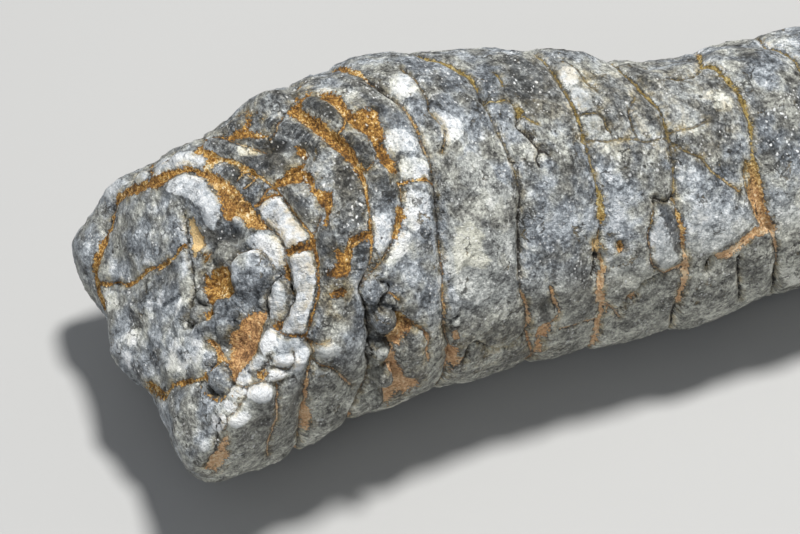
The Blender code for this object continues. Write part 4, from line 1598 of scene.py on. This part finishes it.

# %% Add up the calcite's tone
# The crown is darkened with height: painted shade that tones down the top where the light falls
# most.
crown_painted_shade = coordinates["Z"].span(9.0, 20.0, 0.0, -0.06)
# A pale band a little way from each joint: partly worn edge, partly a painted highlight along the
# block edges.
edge_wear_and_highlight = lines["Line gap"].span(0.12, 0.28) * lines["Line gap"].fade(0.30, 0.80)
blotch = place.noise(1.5, 4.0, 0.65, 57.0) - 0.5
whitened = blotch.onto(pale, 1.5).span(0.36, 0.60)
# The low side is lifted a little here, painted light on the side turned from the lamp.
for amount, gain in (
        (break_face, -0.03), (low_side, 0.03), (crown_painted_shade, 1.0 - break_face),
        (light, 0.26), (small_chips["Tone"] - 0.5, 0.13), (big_chips["Tone"] - 0.5, 0.14),
        (block_shade, 0.50), (edge_wear_and_highlight, 0.10), (whitened, pale.onto(0.22, 0.24)),
        (dark, -0.32), (blades["Shade"], -0.20)):
    shade = amount.onto(shade, gain)

# %% Turn the tone into cool and warm greys
cool = shade.ramp({
    0.00: (48, 51, 54), 0.22: (88, 93, 98), 0.45: (136, 142, 148), 0.62: (176, 183, 189),
    0.80: (216, 221, 226), 1.00: (250, 252, 253)})
warm = shade.ramp({
    0.00: (52, 50, 44), 0.22: (96, 94, 86), 0.45: (150, 148, 136), 0.62: (190, 189, 174),
    0.80: (226, 225, 208), 1.00: (252, 251, 238)})
warmth = place.noise(0.30, 3.0, 0.6, 40.0).span(0.42, 0.62, 0.0, 0.7)
warmth = warmth.at_least(low_side * 0.8).at_least(cream).at_least(in_terraces * 0.8)
warmth = warmth * (1.0 - block_shade.at_least(0.0))
stone_colour = warmth.blend(cool, warm)

# %% Pits and single white crystals
PIT = tone(44, 42, 38)
WHITE_CRYSTAL = tone(250, 252, 252)

rich = kept("crystals")
few_or_many = place.noise(0.45, 3.0, 0.6, 81.0)
open_stone = smooth.onto(1.0, -0.8)
holes = use(specks, Spacing=0.75, Share=0.16, Spot=0.26)["Mask"]
pits = holes * few_or_many.span(0.60, 0.45, 0.2, 1.0) * open_stone
stone_colour = (pits * 0.8).blend(stone_colour, PIT)
white_grains = use(specks, Spacing=0.38, Share=0.34, Spot=0.38)["Mask"]
grain_share = few_or_many.span(0.50, 0.64, 0.06, 0.55).at_least(rich)
stone_colour = (white_grains * grain_share).blend(stone_colour, WHITE_CRYSTAL)

# %% Stain beside the clay, and hairline cracks
STAIN_TINT = tone(206, 178, 112)
CLEAN_CRACK = tone(58, 57, 52)
STAINED_CRACK = tone(120, 102, 60)

stain_noise = place.noise(0.9, 5.0, 0.65, 11.0)
near_clay = lines["Clay gap"].fade(0.0, in_terraces.onto(0.60, 1.6))
stained = near_clay.at_least(in_terraces) * stain_noise.span(0.40, 0.62)
stone_colour = (stained * 0.70).blend(stone_colour, STAIN_TINT, "MULTIPLY")
hairline = big_chips["Crack"].at_least(small_chips["Crack"] * 0.7) * open_stone
crack_colour = stain_noise.span(0.54, 0.62).blend(CLEAN_CRACK, STAINED_CRACK)
stone_colour = (hairline * 0.75).blend(stone_colour, crack_colour)

# %% The clay's own colours
CLAY_PIT = tone(66, 44, 20)
CLAY_CRYSTAL = tone(250, 244, 226)
CLAY_CREAM = tone(250, 218, 160)

in_peach = kept("peach")
soil = use(mottle, Patch_size=2.4, Grain_size=0.30, Patches=0.8, Grains=1.3)["Amount"] - 0.5
soil = soil.onto(0.54, in_peach.onto(1.0, -0.15))
soil = in_terraces.onto(soil, -0.42)
# The clay on the low side is lightened too, painted light where that side sits in shade.
soil = low_side.onto(soil, 0.17)
ochre = soil.ramp({
    0.00: (60, 40, 14), 0.32: (128, 88, 34), 0.55: (182, 134, 62), 0.75: (224, 186, 112),
    0.95: (248, 236, 204)})
peach = soil.ramp({
    0.00: (108, 76, 48), 0.35: (182, 137, 96), 0.65: (226, 182, 136), 1.00: (246, 220, 182)})
olive = soil.ramp({
    0.00: (70, 60, 28), 0.40: (136, 114, 58), 0.70: (180, 158, 98), 1.00: (214, 200, 150)})
on_crown = coordinates["Z"].span(20.0, 24.0) * coordinates["X"].span(-20.0, -16.0)
clay_colour = on_crown.blend(in_peach.blend(ochre, peach), olive)
clay_holes = use(specks, Spacing=0.55, Share=0.30, Spot=0.34)["Mask"]
clay_pits = clay_holes * stain_noise.span(0.44, 0.58)
clay_colour = (clay_pits * 0.65).blend(clay_colour, CLAY_PIT)
clay_colour = (white_grains * rich).blend(clay_colour, CLAY_CRYSTAL)
clay_colour = cream.blend(clay_colour, CLAY_CREAM)

# %% Lay the clay into the stone, then the dark of the joints, partly dirt and partly painted shade
DIRT_AND_SHADE = tone(42, 38, 32)

clay = lines["Clay gap"].fade(-0.035, 0.035) * lines["Filled"]
no_clay = 1.0 - clay
# The band beside the clay, the painted shadow strip and the open cracks all take one dark tone:
# partly dirt, partly painted shade in the gaps.
dirt_and_painted_shade = lines["Clay gap"].span(0.02, 0.13, 0.85, 0.0) * no_clay
dirt_and_painted_shade = dirt_and_painted_shade * stain_noise.span(0.60, 0.46, 0.25, 1.0)
dirt_and_painted_shade = dirt_and_painted_shade.at_least(lines["Undercut"] * 0.9).at_least(lines["Open"])
colour = dirt_and_painted_shade.blend(clay.blend(stone_colour, clay_colour), DIRT_AND_SHADE)

# %% Bump and sparkle
PAINTED_GLINT = tone(252, 252, 250)

height = place.noise(2.2, 4.0, 0.78, 21.0) * 0.48
for amount, gain in (
        (calcite["Grain"], 0.05), (big_chips["Height"], 0.35), (small_chips["Height"], 0.70),
        (big_chips["Crack"], -0.10), (small_chips["Crack"], -0.07), (holes, -0.08)):
    height = amount.onto(height, gain)
height = height + blades["Height"]
bump = outputs(tree, "ShaderNodeBump", Height=height, Strength=1.0, Distance=MM)["Normal"]
glints = use(sparkle, Crystal_size=0.22, Share=0.14, Lean=1.3, Normal=bump)
clusters = few_or_many.span(0.42, 0.60, 0.25, 1.0).at_least(rich)
gloss_and_painted_glint = glints["Mask"] * no_clay * clusters
# The glittering cells are also painted near white in the colour: a painted highlight on top of
# their leaning normals and lower roughness.
colour = (gloss_and_painted_glint * 0.70).blend(colour, PAINTED_GLINT)

# %% The shader
finish = outputs(tree, "ShaderNodeBsdfPrincipled",
                 Base_Color=colour, Normal=glints["Normal"], IOR=1.5, Specular_IOR_Level=0.5,
                 Roughness=clay.onto(gloss_and_painted_glint.span(0.0, 1.0, 0.48, 0.18), 0.35))
add(tree, "ShaderNodeOutputMaterial", Surface=finish["BSDF"])
stone_mesh.materials.append(material)
print("material nodes:", len(tree.nodes))

# %% [markdown]
# ## Floor and light
#
# The floor is plain, pale and matt. A soft light hangs above the stone, a little behind it, so
# the top is bright, the underside is dark and every pit keeps its shadow. A weak one at the
# front left keeps the broken end readable.

# %% Make the floor
FLOOR_HALF = 1.6
FLOOR_CORNERS = ((-1, -1), (1, -1), (1, 1), (-1, 1))

floor_mesh = bpy.data.meshes.new("floor")
floor_mesh.from_pydata(
    [(x * FLOOR_HALF, y * FLOOR_HALF, 0) for x, y in FLOOR_CORNERS], [], [(0, 1, 2, 3)])
floor = show("floor", floor_mesh)
floor_material = bpy.data.materials.new("pale floor")
floor_material.use_nodes = True
paint = floor_material.node_tree.nodes["Principled BSDF"]
paint.inputs["Base Color"].default_value = tone(178, 178, 177)
paint.inputs["Roughness"].default_value = 0.7
floor_mesh.materials.append(floor_material)
print("floor, m:", 2 * FLOOR_HALF, "square")

# %% Hang the lights
STONE_MIDDLE = Vector((-0.01, 0.0, 0.015))


def area_light(name, place, size, watts, colour):
    """A round soft light at a place in metres, pointed at the stone."""
    data = bpy.data.lights.new(name, "AREA")
    data.shape = "DISK"
    data.size = size
    data.energy = watts
    data.color = colour
    aim(show(name, data), place, STONE_MIDDLE - Vector(place))


area_light("key", (0.10, 0.04, 0.60), 0.11, 4.85, (1.0, 0.99, 0.97))
area_light("fill", (-0.45, -0.45, 0.35), 0.5, 0.9, (0.96, 0.98, 1.0))
world = bpy.data.worlds.new("studio")
world.use_nodes = True
sky = world.node_tree.nodes["Background"]
sky.inputs["Color"].default_value = (0.78, 0.82, 0.88, 1.0)
sky.inputs["Strength"].default_value = 0.26
bpy.context.scene.world = world
bpy.context.scene.view_settings.view_transform = "Standard"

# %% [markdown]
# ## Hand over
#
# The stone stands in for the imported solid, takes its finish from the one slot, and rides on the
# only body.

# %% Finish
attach(stone, "root")
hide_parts(NODE)
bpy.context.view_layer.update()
